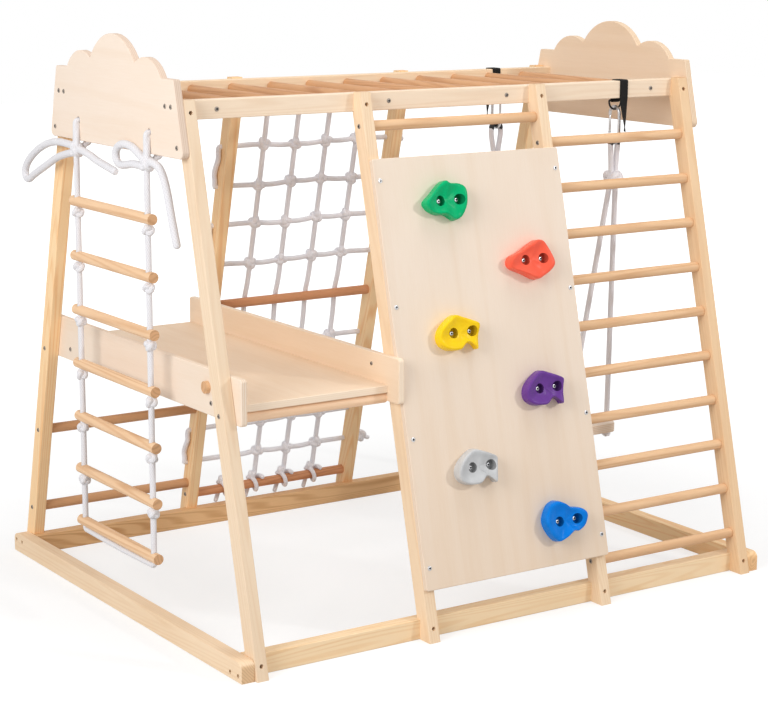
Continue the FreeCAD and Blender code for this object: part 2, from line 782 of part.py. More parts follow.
node("deck_peg", rod("deck_peg", "peg_radius", "peg_proud", "-X", apron_outer, "-peg_y",
                     "apron_low + peg_rise"))

# Climbing wall on the front of the middle legs, made upright against the plane y = 0

owner = body("climbing_wall")
outline = rectangle(owner, "XZ_Plane", "climbing_wall_outline", ("-wall_half", "wall_low"),
                    ("wall_half", "wall_low + wall_length"))
sheet_pad = pad(owner, outline, "wall_thick", middle=False)
rounded = ease(owner, sheet_pad, "wall_round", runs_along(Vector(0, 1, 0)))
bevel(owner, rounded, crosses(Vector(0, 1, 0)))
node("climbing_wall", tilt(owner, "front"))
wall_screw_specs = []
for share in WALL_SCREW_SHARES:
    for screw_x in ("-mid_leg_x", "mid_leg_x"):
        wall_screw_specs.append(("+Y", screw_x, "-wall_thick", f"wall_low + {share} * wall_length"))

# Moulded holds, lofted through three sections of one outline

for name, (outline_shares, (x_share, z_share)) in HOLDS.items():
    centre_x = number(f"{x_share} * wall_half")
    centre_z = number(f"wall_low + {z_share} * wall_length")
    sections = []
    for out_share, scale_share in HOLD_SECTION_SHARES:
        level = -number(f"wall_thick + {out_share} * hold_depth")
        points = []
        for a, b in outline_shares:
            x = centre_x + number(f"{a * scale_share} * hold_width")
            z = centre_z + number(f"{b * scale_share} * hold_height")
            points.append(Vector(x, level, z))
        curve = Part.BSplineCurve()
        curve.interpolate(points, PeriodicFlag=True)
        corners = curve.discretize(HOLD_SIDES + 1)
        sections.append(Part.makePolygon(corners[:-1] + corners[:1]))
    shape = Part.makeLoft(sections, True, True)
    for a, b in HOLD_SCREW_SHARES:
        screw_x = f"{x_share} * wall_half + {a} * hold_width"
        screw_z = f"wall_low + {z_share} * wall_length + {b} * hold_height"
        seat_y = "-(wall_thick + hold_floor)"
        seat = Vector(number(screw_x), number(seat_y), number(screw_z))
        mouth = seat - Vector(0, number("hold_depth"), 0)
        shape = shape.cut(faceted_bar(seat, mouth, number("recess_radius"), SLEEVE_SIDES))
        wall_screw_specs.append(("+Y", screw_x, seat_y, screw_z))
    node(name, tilt(solid(name, shape), "front"))
tilt(screws("wall_screws", wall_screw_specs), "front")

# Screws that show on the boards, rungs, rails and deck

frame_screw_specs = []
for sign, into in ((-1, "+Y"), (1, "-Y")):
    for bar_index in (0, 4, 7, 11):
        bar_x = f"{bar_index - (BAR_COUNT - 1) / 2} * bar_pitch"
        frame_screw_specs.append((into, bar_x, f"{sign} * rail_reach", "bar_level"))
screws("rung_screws", rung_screw_specs)
for end, into in ((-1, "+X"), (1, "-X")):
    for sign in SIDES.values():
        for y_share, z_share in BOARD_SCREW_SHARES:
            frame_screw_specs.append((into, f"{end} * board_face", f"{sign * y_share} * board_low_half",
                                      f"board_low + {z_share} * (board_shoulder - board_low)"))
bolt_level = "apron_low + deck_rise"
for side, sign in SIDES.items():
    middle = leg_middle(side, bolt_level)
    frame_screw_specs.append(("+X", "-frame_half", middle, bolt_level))
    frame_screw_specs.append(("-X", "leg_width - mid_face", middle, bolt_level))
    for into, face in (("+X", apron_outer), ("-X", "apron_thick / 2 - right_apron_x")):
        frame_screw_specs.append((into, face, f"{sign} * (deck_front - 2 * apron_thick - 2 * leg_width)",
                                 "deck_top - deck_thick / 2"))
screws("frame_screws", frame_screw_specs)

# Net: flat ropes and knots on their own slope, links outside the legs, and ties to the rungs and the rail

strands = []
near, far = "net_y - net_rope", "net_y + net_rope"
for index, line_x in enumerate(net_line_x):
    strands.append(block(f"net_line_{index}", (f"{line_x} - net_rope", near, "net_low"),
                         (f"{line_x} + net_rope", far, "net_top + net_rope")))
    strands.append(block(f"net_bulge_{index}",
                         (f"{line_x} - net_rope", "rung_radius - leg_depth / 2",
                          "net_high_z - 3 * rung_radius"),
                         (f"{line_x} + net_rope", "rung_radius + 2 * net_rope - leg_depth / 2",
                          "net_high_z + 6 * rung_radius")))
for index, row in enumerate(net_rows):
    strands.append(block(f"net_row_{index}", ("leg_width - mid_face", near, f"{row} - net_rope"),
                         ("mid_face - leg_width", far, f"{row} + net_rope")))
    strands.append(prism(f"net_through_{index}", "net_rope", "2 * (link_x + net_rope)", "+X",
                         "-(link_x + net_rope)", "net_y", row,
                         ROPE_SIDES))
    for line, line_x in enumerate(net_line_x):
        strands.append(block(f"net_knot_{index}_{line}",
                             (f"{line_x} - knot_radius", "net_y - knot_depth / 2", f"{row} - knot_radius"),
                             (f"{line_x} + knot_radius", "net_y + knot_depth / 2", f"{row} + knot_radius")))
for index in range(len(net_rows) - 1):
    link_x = "-link_x" if index % 2 == 0 else "link_x"
    strands.append(prism(f"net_link_{index}", "net_rope",
                         f"({net_rows[index]}) - ({net_rows[index + 1]}) + 2 * net_rope", "+Z",
                         link_x, "net_y", f"{net_rows[index + 1]} - net_rope", ROPE_SIDES))
for row in (net_rows[0], net_rows[-1]):
    strands.append(prism("net_end_knot", "knot_radius", "2 * net_rope", "+X", "mid_face + fit", "net_y", row))
flat_net = tilt(fuse("flat_net", strands), "back")
ties = [flat_net]
for index, line_x in enumerate(net_line_x):
    ties.append(prism(f"net_sleeve_{index}", "rung_radius + fit + 2 * net_rope", "2 * net_rope", "+X",
                      f"{line_x} - net_rope",
                      leg_middle("back", "net_low_z"), "net_low_z", SLEEVE_SIDES))
    ties.append(prism(f"net_peg_{index}", "net_rope", "rail_setback + net_peg_depth", "-Y", line_x,
                      "rail_reach + rail_setback", "bar_level", ROPE_SIDES))
rung_clear = []
for name, z in (("low", "net_low_z"), ("high", "net_high_z")):
    rung_clear.append(prism(f"net_clear_{name}", f"(rung_radius + fit) / cos({180 / SLEEVE_SIDES})",
                            "2 * mid_face", "+X",
                            "-mid_face", leg_middle("back", z), z, SLEEVE_SIDES))
node("climbing_net", cut("climbing_net", fuse("tied_net", ties), group("net_clear", rung_clear)))

# Rope ladder: rungs on two ropes that hang from knots under the left end board

rope_rungs = []
rope_levels = [f"rope_rung_low + {index} * rope_rung_pitch" for index in range(ROPE_RUNG_COUNT)]
for index, level in enumerate(rope_levels):
    rope_rungs.append(rod(f"rope_rung_{index}", "rung_radius", "2 * rope_rung_half", "+Y", "-ladder_x",
                          "-rope_rung_half", level))
rope_holes = [
    prism(f"rope_hole_{index}", "(rope_radius + fit) / cos(30)", "leg_top", "+Z", "-ladder_x",
          f"{sign} * rope_y", 0)
    for index, sign in enumerate(SIDES.values())
]
node("rope_ladder_rungs", cut("rope_ladder_rungs", group("rope_rungs", rope_rungs),
                              group("rope_holes", rope_holes)))


rope_radius = number("rope_radius")
ladder_x = -number("ladder_x")
knot_z = number("tie_knot_z")
low_run_z = number("rope_rung_low - rung_radius - fit - rope_radius")
rope_points = [Vector(ladder_x, number(f"{sign} * rope_y"), z)
               for sign, z in ((-1, knot_z), (-1, low_run_z), (1, low_run_z), (1, knot_z))]
rope = cord_tube("ladder_rope", rope_points, rope_radius, bend_radius=number("rope_radius + fit"))
pivot_start = Vector(ladder_x, -number("rope_rung_half"), knot_z)
pivot = Part.makeCylinder(number("tie_knot + fit"), number("2 * rope_rung_half"), pivot_start,
                          Vector(0, 1, 0))
rope = rope.cut(pivot)
rope_knots = []
for sign in SIDES.values():
    for level in rope_levels[1:]:
        middle = Vector(ladder_x, number(f"{sign} * rope_y"),
                        number(f"{level} - rung_radius - fit - rope_knot_height / 2"))
        rope_knots.append(knot(middle, Vector(0, 0, 1), number("rope_knot"), number("rope_knot_height")))
node("ladder_rope", solid("ladder_rope", joined(rope, rope_knots)))

# Ties that hold the rope ladder: a loop through the end board with its knot, and the loose ends beside it

inner_x = -number("frame_half - fit - rope_radius")
for end, sign, routes in (("left", 1, {"loop": LEFT_LOOP, "tail": LEFT_TAIL}),
                          ("right", -1, {"loop": RIGHT_LOOP, "tail": RIGHT_TAIL})):
    tie_y = sign * number("rope_y")
    knot_place = Vector(ladder_x, tie_y, knot_z)
    hole_z = number("tie_hole_z")
    beside_knot = ladder_x + TIE_END_SHARE * number("tie_knot")
    tie_points = [knot_place, Vector(ladder_x, tie_y, hole_z), Vector(inner_x, tie_y, hole_z),
                  Vector(inner_x, tie_y, number("board_low - fit - rope_radius")),
                  Vector(beside_knot, tie_y, knot_z)]
    loop = cord_tube(f"{end}_tie", tie_points, rope_radius, bend_radius=number("tie_bend"))
    tie = joined(knot(knot_place, Vector(0, 1, 0), number("tie_knot"), number("2 * tie_knot")), [loop])
    node(f"{end}_ladder_tie", solid(f"{end}_ladder_tie", tie))
    name = f"{end}_bow"
    tubes = []
    for kind, route in routes.items():
        points = [knot_place + Vector(0, along, above) for along, above in route]
        tubes.append(cord_tube(f"{name}_{kind}", points, rope_radius))
    node(name, solid(name, Part.makeCompound(tubes)))

# Swing: straps over the top rails, D-rings, carabiners with sprung gates, ropes and a seat

for side, sign in SIDES.items():
    name = f"{side}_swing_strap"
    owner = body(name + "_band")
    outer = "rail_reach + fit + strap_thick"
    inner = "rail_in - fit - strap_thick"
    crown = "rail_top + fit + strap_thick"
    band_corners = ((inner, "ring_z"), (inner, crown), (outer, crown), (outer, "rail_low"),
                    ("rail_reach + fit", "rail_low"),
                    ("rail_reach + fit", "rail_top + fit"), ("rail_in - fit", "rail_top + fit"),
                    ("rail_in - fit", "ring_z"))
    band = [(f"{sign} * ({y})", z) for y, z in band_corners]
    pad(owner, polygon(owner, "YZ_Plane", name + "_outline", band), "strap_width")
    place(owner, x="swing_x")
    tail_sections = []
    for level, twist, drift in (("rail_low", 0, 0), ("rail_low - strap_tail", "strap_twist", "strap_drift")):
        corners = []
        for a, b in ((-1, -1), (1, -1), (1, 1), (-1, 1)):
            along, across = f"{a} * strap_width / 2", f"{b} * strap_thick / 2"
            corners.append(Vector(number(f"swing_x + {along} * cos({twist}) - {across} * sin({twist})"),
                                  number(f"{sign} * (tail_y + {drift})"
                                         f" + {along} * sin({twist}) + {across} * cos({twist})"),
                                  number(level)))
        tail_sections.append(Part.makePolygon(corners + corners[:1]))
    tail = solid(name + "_tail", Part.makeLoft(tail_sections, True, True))
    half_strap = "strap_width / 2"
    sleeve = prism(name + "_sleeve", "ring_wire + 2 * fit + strap_thick", "strap_width", "+X",
                   f"swing_x - {half_strap}",
                   f"{sign} * ring_y", "ring_z", ROPE_SIDES)
    bar_clear = prism(name + "_bar_clear", "ring_wire + 2 * fit", "strap_width + 2 * overrun", "+X",
                      f"swing_x - {half_strap} - overrun", f"{sign} * ring_y", "ring_z", ROPE_SIDES)
    node(name, cut(name, fuse(name + "_whole", [owner, tail, sleeve]), bar_clear))

    # D-ring in the XZ plane, its straight bar in the strap's sleeve
    name = f"{side}_ring"
    swing_x = number("swing_x")
    hang_y = sign * number("ring_y")
    ring_half, ring_wire = number("ring_half"), number("ring_wire")
    ring_top = Vector(swing_x, hang_y, number("ring_z"))
    ring_middle = Vector(swing_x, hang_y, number("ring_z - ring_side"))
    across, down = Vector(ring_half, 0, 0), Vector(0, 0, -ring_half)
    ring_points = [ring_top - across, *bend_points(ring_middle, -across, down), ring_top + across]
    beyond = Vector(ring_wire, 0, 0)
    ring_bar = faceted_bar(ring_top - across - beyond, ring_top + across + beyond, ring_wire)
    node(name, solid(name, joined(ring_bar, [bent_bar(ring_points, Vector(0, 1, 0), ring_wire)])))

    # Carabiner in the YZ plane: one bent bar, open where its gate closes it on the inner side
    name = f"{side}_carabiner"
    hook_half = number("hook_half")
    aside, above = Vector(0, sign * hook_half, 0), Vector(0, 0, hook_half)
    stub = Vector(0, 0, number("gate_stub"))
    high = Vector(swing_x, hang_y, number("hook_high"))
    low = Vector(swing_x, hang_y, number("hook_low"))
    hook_points = [high - aside - stub, *bend_points(high, -aside, above), *bend_points(low, aside, -above),
                   low - aside + stub]
    node(name, solid(name, bent_bar(hook_points, Vector(1, 0, 0), number("hook_wire"))))

    # Gate: a bar that turns about a knuckle at its own lower end
    name = f"{side}_gate"
    gate_y = f"{sign} * (ring_y - hook_half)"
    knuckle = rod(name + "_knuckle", "gate_wire", "2 * gate_wire", "+X", "swing_x - gate_wire", gate_y,
                  "gate_low")
    gate_bar = prism(name + "_bar", "gate_wire - fit", "gate_high - gate_low", "+Z", "swing_x", gate_y,
                     "gate_low", ROPE_SIDES)
    node(name, fuse(name, [knuckle, gate_bar]))

    # Rope: an eye round the carabiner, a large knot, and two strands down through the seat
    name = f"{side}_swing_rope"
    half_eye = number("eye_half")
    eye = Vector(swing_x, hang_y, number("hook_end"))
    knot_centre = Vector(swing_x, hang_y, number("swing_knot_z"))
    side_step, rise = Vector(half_eye, 0, 0), Vector(0, 0, half_eye)
    eye_points = [knot_centre - side_step, *bend_points(eye, -side_step, rise), knot_centre + side_step]
    pieces = [bent_bar(eye_points, Vector(0, 1, 0), rope_radius)]
    for hand in (-1, 1):
        leaving = knot_centre + Vector(hand * number("strand_spread"), 0, 0)
        turn = Vector(swing_x + hand * number("seat_hole_x"), sign * number("seat_hole_y"),
                      number("seat_top + strand_rise"))
        under = Vector(turn.x, turn.y, number("seat_top - seat_thick - fit - seat_knot"))
        pieces.append(cord_tube(f"{name} strand", [leaving, turn, under], rope_radius,
                                bend_radius=number("strand_bend")))
        pieces.append(knot(under, Vector(0, 0, 1), number("seat_knot"), number("2 * seat_knot")))
    swing_knot = knot(knot_centre, Vector(0, 0, 1), number("swing_knot"), number("2 * swing_knot"))
    node(name, solid(name, joined(swing_knot, pieces)))

owner = body("swing_seat_blank")
outline = rectangle(owner, "XY_Plane", "swing_seat_outline", ("-seat_width / 2", "-seat_length / 2"),
                    ("seat_width / 2", "seat_length / 2"))
plank = pad(owner, outline, "seat_thick", middle=False)
rounded = ease(owner, plank, "seat_corner", runs_along(Vector(0, 0, 1)))
bevel(owner, rounded, crosses(Vector(0, 0, 1)))
place(owner, x="swing_x", z="seat_top - seat_thick")
seat_holes = []
for sign in SIDES.values():
    for hand in (-1, 1):
        seat_holes.append(prism("seat_hole", "rope_radius + 2 * fit", "seat_thick + 2 * overrun", "+Z",
                                f"swing_x + {hand} * seat_hole_x", f"{sign} * seat_hole_y",
                                "seat_top - seat_thick - overrun", ROPE_SIDES))
node("swing_seat", cut("swing_seat", owner, group("seat_holes", seat_holes)))

# Checks and files

doc.recompute()
failed = [feature.Label for feature in doc.Objects if {"Invalid", "Error"} & set(feature.State)]
if failed:
    raise RuntimeError(f"objects that failed: {failed}")
for name, feature in nodes.items():
    if feature.Label != name:
        raise RuntimeError(f"{name} is labelled {feature.Label}")
    if feature.Shape.isNull() or not feature.Shape.isValid() or not feature.Shape.Solids:
        raise RuntimeError(f"{name} has no valid shape")
os.makedirs("parts", exist_ok=True)
for name, feature in nodes.items():
    feature.Shape.exportStep(f"parts/{name}.step")
print(f"{len(nodes)} nodes, {sum(len(feature.Shape.Solids) for feature in nodes.values())} solids")
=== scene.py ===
import json
import math

import bmesh
import bpy
import numpy as np
from mathutils import Matrix, Vector
from mathutils.bvhtree import BVHTree


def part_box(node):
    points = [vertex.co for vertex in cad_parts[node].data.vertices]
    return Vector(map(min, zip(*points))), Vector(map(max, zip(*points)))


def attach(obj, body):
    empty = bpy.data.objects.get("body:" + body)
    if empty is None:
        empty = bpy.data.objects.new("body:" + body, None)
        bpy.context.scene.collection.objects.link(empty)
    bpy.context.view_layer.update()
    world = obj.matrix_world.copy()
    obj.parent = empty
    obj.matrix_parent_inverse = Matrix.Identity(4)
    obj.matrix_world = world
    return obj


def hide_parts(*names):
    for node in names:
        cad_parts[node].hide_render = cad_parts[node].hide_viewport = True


# Indoor playset: the looks of a leaning timber climbing frame, around its fixed frame.
# Metres. X runs along the frame from left to right, -Y is the front and Z is up.

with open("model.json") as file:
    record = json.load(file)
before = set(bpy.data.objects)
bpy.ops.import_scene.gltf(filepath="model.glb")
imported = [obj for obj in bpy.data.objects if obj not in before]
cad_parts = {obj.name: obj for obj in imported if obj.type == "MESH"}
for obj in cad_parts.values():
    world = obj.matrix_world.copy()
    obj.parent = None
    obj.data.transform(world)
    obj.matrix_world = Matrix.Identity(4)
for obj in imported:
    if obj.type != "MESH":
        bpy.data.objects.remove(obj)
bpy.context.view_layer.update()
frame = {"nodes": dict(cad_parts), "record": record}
nodes = frame["nodes"]
bodies = frame["record"]["behaviour"]["bodies"]
body_of = {node: body for body, members in bodies.items() for node in members}

# The photograph's camera: its sensor is in millimetres, its focal length in pixels
PHOTO_WIDTH = 768
FOCAL_PIXELS = 2061.74
SENSOR_WIDTH = 36.0
CAMERA_PLACE = Vector((-2.8456, -4.2658, 1.5835))
CAMERA_YAW = math.radians(-33.77)
CAMERA_PITCH = math.radians(-11.50)
CAMERA_ROLL = math.radians(0.24)

# The legs' lean, the planes that lie on it, and the gap between pieces that touch
LEAN = math.radians(13.6)
FOOT_REACH = 0.6055
LEG_DEPTH = 0.042
MID_FACE = 0.268
CLEAR = 0.0003

# Rope ladder and its ties; a knot is its outer radius, its rope's radius and the share of its height
ROPE_RADIUS = 0.007
SLACK_RADIUS = 0.009
ROPE_Y = 0.180
LADDER_X = -0.7483
TIE_KNOT_Z = 1.085
TIE_HOLE_Z = 1.155
TIE_FAN = 0.006
TIE_FAN_ROUTE = ((0.004, 0.0, -0.010), (0.0, 0.3, -0.030))
TIE_SHOULDER = 0.020
TIE_TURN_X = 0.006
TIE_TURN_Z = 0.004
TIE_UNDER_TURN = 0.010
TIE_END = 0.01394
TIE_INNER_X = -0.7157
BOARD_LOW = 1.107
RUNG_RADIUS = 0.0125
ROPE_RUNG_LOW = 0.177
ROPE_RUNG_PITCH = 0.131
ROPE_RUNG_COUNT = 7
LADDER_KNOT = (0.0158, 0.0070, 0.62)
LADDER_KNOT_DROP = 0.01343
LADDER_KNOT_LEAN = 0.3
LADDER_KNOT_SPIN = 0.7
LADDER_TOP_DROP = 0.012
LADDER_STRAIGHT_ZS = (0.9, 0.2)
LADDER_TURN = 0.016
LADDER_SAG = 0.003
TIE_KNOT = (0.0205, 0.0084, 0.55)
TIE_KNOT_SPIN = 0.4

# Loose ends of the ties: real length, what the far end is, and the (y, z) points of the route
BOWS = {
    "left_loop": (0.616, "object", (
        (0.1958, 1.094), (0.268, 1.099), (0.342, 1.088), (0.408, 1.064), (0.462, 1.032), (0.481, 1.004),
        (0.463, 0.984), (0.424, 1.004), (0.352, 1.032), (0.270, 1.066), (0.1958, 1.0775),
    )),
    "left_tail": (0.187, "bare", (
        (0.1635, 1.088), (0.120, 1.083), (0.074, 1.070), (0.026, 1.062), (-0.020, 1.054),
    )),
    "right_loop": (0.297, "object", (
        (-0.1635, 1.094), (-0.130, 1.112), (-0.092, 1.121), (-0.056, 1.120), (-0.029, 1.106), (-0.026, 1.083),
        (-0.046, 1.070), (-0.080, 1.074), (-0.122, 1.081), (-0.1635, 1.0775),
    )),
    "right_tail": (0.226, "bare", (
        (-0.1965, 1.091), (-0.226, 1.090), (-0.254, 1.072), (-0.276, 1.030), (-0.292, 0.978), (-0.315, 0.920),
    )),
}

# Net: its ropes, the rows of its weave and what holds them
NET_ROPE = 0.006
NET_ROPE_LOOK = 0.0068
NET_LEVEL = -0.010
NET_TOP = 1.2457
NET_TOP_LEVELS = (-0.75 * LEG_DEPTH, -0.012, NET_LEVEL)
NET_FOOT_UPS = (0.135, 0.112)
NET_KNOT = (0.0185, 0.0080, 0.60)
ROW_END_KNOT = (0.0185, 0.0080, 0.50)
NET_KNOT_ROW_SPIN = 0.6
NET_KNOT_LINE_SPIN = 1.1
NET_PITCH = 0.0947
NET_LINES = 4
NET_ROW_SHARES = (0.872, 0.786, 0.699, 0.611, 0.416, 0.322, 0.227, 0.150)
NET_ROW_LIFTS = (
    (0.002, -0.003, 0.001, 0.003), (-0.003, 0.002, 0.004, -0.002), (0.001, -0.004, 0.003, 0.002),
    (-0.004, -0.001, 0.002, 0.004), (0.003, 0.000, -0.003, 0.001), (-0.002, 0.003, -0.001, 0.002),
    (0.002, -0.002, 0.003, -0.001), (-0.001, 0.003, -0.002, 0.001),
)
NET_LINK_X = 0.2751
NET_EDGE_XS = (NET_LINK_X, MID_FACE - 0.004, MID_FACE - 0.034)
NET_SAG = 0.004
LINK_STEP = 0.001
LINK_TURN = 0.014
LINK_SLACK = 0.009
LINK_SLACK_SHARES = ((0.30, -0.6), (0.52, 0.5), (0.74, 1.0))
NET_HIGH_Z = 0.626
NET_HIGH_BYPASS = ((0.050, NET_LEVEL), (0.0, -0.0015), (-0.050, NET_LEVEL))
NET_LOW_Z = 0.085
WRAP_STEPS = 40
WRAP_PITCH = 0.036
WRAP_START = 60
WRAP_SWEEP = 420
WRAP_KNOT = (0.013875, 0.0064, 0.50)
WRAP_KNOT_AXIS = Vector((0, 1, 0.3))
WRAP_KNOT_ALONG_SHARE = -0.3
WRAP_TAIL = ((-0.2, 1.0, 0.0), (-0.4, 1.0, -0.018), (-0.7, 0.6, -0.034))
END_TAIL = ((0.008, 0.0, 0.0), (0.030, -0.003, 0.004), (0.058, -0.014, 0.006))
END_TAIL_AXIS = Vector((1, 0, -0.3))
END_TAIL_SPIN = 0.8

# Climbing wall and holds
WALL_HALF = 0.2675
WALL_LOW = 0.121
WALL_LENGTH = 0.992
WALL_THICK = 0.015
# The height up the wall where the painted shade near the floor ends
WALL_FADE = 0.75
HOLD_WIDTH = 0.118
HOLD_HEIGHT = 0.094
HOLD_DEPTH = 0.032
HOLD_WAVE = 0.0030
HOLD_RIDGES = 4
HOLD_LEAN_SHARE = 0.22
HOLD_DISH = 0.003
HOLD_DISH_REACH = 0.021
HOLD_FLOOR = 0.014
RECESS_MOUTH = 0.0126
RECESS_SEAT = 0.0112
RECESS_FLARE_SHARE = 1.3
# Painted shade in the holds' wells: their plastic is this share of the hold's colour, with little gloss
WELL_SHADE_SHARE = 0.50
WELL_GLOSS = 0.02
PLASTIC_GLOSS = 0.08
HOLD_PROFILE_SHARES = ((1.0, 0.0), (0.995, 0.35), (0.985, 0.70), (0.96, 0.93), (0.89, 1.0), (0.78, 0.98),
                       (0.60, 0.87), (0.35, 0.80), (0.04, 0.78))
HOLD_SCREW_SHARES = ((-0.18, 0.0), (0.25, 0.0))
NOTCHED = (
    (-0.05, 0.45), (0.14, 0.38), (0.36, 0.27), (0.50, 0.17), (0.49, 0.00), (0.44, -0.22), (0.40, -0.46),
    (0.32, -0.34), (0.20, -0.27), (0.10, -0.33), (-0.03, -0.43), (-0.29, -0.40), (-0.46, -0.26),
    (-0.50, -0.06), (-0.42, 0.15), (-0.25, 0.33),
)
LOBED = (
    (-0.50, -0.01), (-0.42, -0.20), (-0.24, -0.32), (-0.03, -0.35), (0.17, -0.50), (0.36, -0.42),
    (0.49, -0.14), (0.51, 0.25), (0.38, 0.40), (0.15, 0.43), (0.02, 0.50), (-0.12, 0.40), (-0.31, 0.20),
)
WEDGE = (
    (-0.55, 0.00), (-0.50, -0.17), (-0.22, -0.33), (0.08, -0.51), (0.30, -0.45), (0.52, -0.28), (0.58, -0.05),
    (0.42, 0.40), (0.25, 0.49), (0.08, 0.43), (-0.22, 0.24), (-0.46, 0.14),
)
SADDLE = (
    (-0.16, 0.53), (0.04, 0.44), (0.20, 0.32), (0.45, 0.25), (0.58, 0.08), (0.51, -0.20), (0.34, -0.32),
    (0.18, -0.30), (-0.02, -0.45), (-0.22, -0.50), (-0.40, -0.28), (-0.50, 0.06), (-0.36, 0.41),
)
HOLDS = {
    "green": (LOBED, (-0.335, 0.890), (0.000, 0.410, 0.150)),
    "red": (WEDGE, (0.498, 0.733), (0.980, 0.125, 0.070)),
    "yellow": (NOTCHED, (-0.372, 0.581), (0.960, 0.610, 0.012)),
    "purple": (NOTCHED, (0.472, 0.425), (0.140, 0.046, 0.270)),
    "grey": (NOTCHED, (-0.353, 0.266), (0.535, 0.540, 0.545)),
    "blue": (SADDLE, (0.506, 0.104), (0.001, 0.190, 0.680)),
}

# Swing: rings, spring hooks, ropes, seat and straps
SWING_X = 0.5375
RING_Y = 0.24913
RING_Z = 1.180
RING_SIDE = 0.004
RING_HALF = 0.019
RING_WIRE = 0.0025
RING_CORNER = 0.003
RING_BAR_SHARES = (-0.6, -0.2, 0.2, 0.6)
HOOK_HALF = 0.018
HOOK_WIRE = 0.004
HOOK_HIGH = 1.1458
HOOK_LOW = 1.0898
HOOK_END = 1.0718
HOOK_SIDE_SHARES = (0.25, 0.5, 0.75)
GATE_WIRE = 0.0032
GATE_STUB = 0.005
GATE_LOW = 1.0983
GATE_HIGH = 1.1405
GATE_FOOT_SHARES = (-0.6, 0.80)
GATE_BAR_SHARES = ((0.0, 1.0), (0.80, 1.0), (0.84, 0.86), (0.97, 0.86), (1.0, 0.66))
PIN_SHARES = ((0.0, 0.46), (0.2, 0.62), (2.4, 0.62), (2.6, 0.46))
PIN_HALF_SHARE = 1.3
EYE_HALF = 0.0113
EYE_BULGE_SHARES = {"front": 0.0, "back": 1.0}
EYE_SPREAD_SHARE = 0.32
EYE_LEG_SHARES = ((0.72, 0.0, 0.0), (0.64, 0.0, 0.22), (0.70, 0.12, 0.42), (0.80, 0.34, 0.62),
                  (0.92, 0.46, 0.80), (1.0, 0.38, 0.93))
SLEEVE_ANGLES = (205, -25)
SLEEVE_RISE = 0.0002
SWING_KNOT_Z = 0.981
SWING_KNOTS = ((0.0, Vector((0, 0, 1)), (0.0285, 0.0098, 0.62), 0.5),
               (0.004, Vector((1, 0, 0.4)), (0.0245, 0.0090, 0.60), 1.3))
STRAND_SPREAD = 0.008
SEAT_TOP = 0.326
SEAT_THICK = 0.025
SEAT_HOLE_X = 0.066
SEAT_HOLE_Y = 0.170
SEAT_KNOT_DROP = 0.0085
SEAT_KNOT = (0.0130, 0.0055, 0.40)
SEAT_KNOT_SPIN = 0.9
STRAND_TURN = 0.009
STRAND_SHARES = (0.5, 0.965)
STRAP_WIDTH = 0.025
STRAP_THICK = 0.0024
STRAP_TAIL = 0.083
STRAP_TWIST = math.radians(57)
STRAP_DRIFT = 0.007
STRAP_RISE = 0.012
STRAP_LOOP_ANGLES = (100, -180)
STRAP_BEND = 0.003
STRAP_BEND_SHARES = ((0, 2), (0, 1), (0.3, 0.3), (1, 0), (2, 0))
BAND_SHARES = ((-1, -0.4), (-0.94, -1), (0.94, -1), (1, -0.4), (1, 0.4), (0.94, 1), (-0.94, 1), (-1, 0.4))
RAIL_IN = 0.25093
RAIL_REACH = 0.28093
RAIL_TOP = 1.230
RAIL_LOW = 1.187

# Screws and bolts
SOCKET_SIDES = 6
HEAD_DOME_SHARE = 1.3
HEAD_SPREAD_SHARE = 1.4
HOLD_HEAD_SPREAD_SHARE = 1.35
HEAD_SHARES = ((0, 1, 0), (0.35, 1, 0), (0.75, 0.88, 0), (1, 0.66, 0), (1, 0.54, SOCKET_SIDES),
               (0.30, 0.50, SOCKET_SIDES))
BOARD_HEAD = 0.0045
BOARD_HEAD_RISE = 0.0022
BOARD_SCREW_Y = 0.382
BOARD_SCREW_Z = 0.617
BOLT_CAP = 0.005
BOLT_SPREAD_SHARE = 1.25
BOLT_TIP_SHARES = ((0, 0.8), (0.2, 1))
BOLT_CAP_SHARES = ((1, 1, 0), (0.12, 1, 0), (0, 0.88, 0), (0, 0.60, SOCKET_SIDES), (0.6, 0.56, SOCKET_SIDES))

# Fineness of the meshes
ROPE_SIDES = 16
WIRE_SIDES = 20
KNOT_SIDES = 12
KNOT_STEPS = 72
HEAD_SIDES = 24
SPLINE_STEPS = 8
WEAVE_STEPS = 5
BOW_STEPS = 10
STRAND_STEPS = 16
LADDER_STEPS = 24
RING_STEPS = 28
CORNER_STEPS = 6
HOOK_STEPS = 24
EYE_STEPS = 18
SLEEVE_STEPS = 20
STRAP_LOOP_STEPS = 12
STRAP_TAIL_STEPS = 16
HOLD_AROUND = 112
HOLD_STEPS = 7
ROUND_END_SHARES = ((0.45, 0.89), (0.80, 0.60))
SHARP_ANGLE = math.radians(35)

# Sides, directions and a full turn
SIDES = {"front": -1, "back": 1}
RIGHT = Vector((1, 0, 0))
UP = Vector((0, 0, 1))
FULL_TURN = 2 * math.pi


# Places on the leaning planes

def on_front(x, up, out):
    """A point on the front slope: up along the legs, out from their front faces."""
    return Vector((x, -FOOT_REACH + up * math.sin(LEAN) - out * math.cos(LEAN),
                   up * math.cos(LEAN) + out * math.sin(LEAN)))


def on_back(x, up, out):
    """A point on the back slope, which mirrors the front: up along the legs, out from their back faces."""
    point = on_front(x, up, out)
    return Vector((x, -point.y, point.z))


# Materials

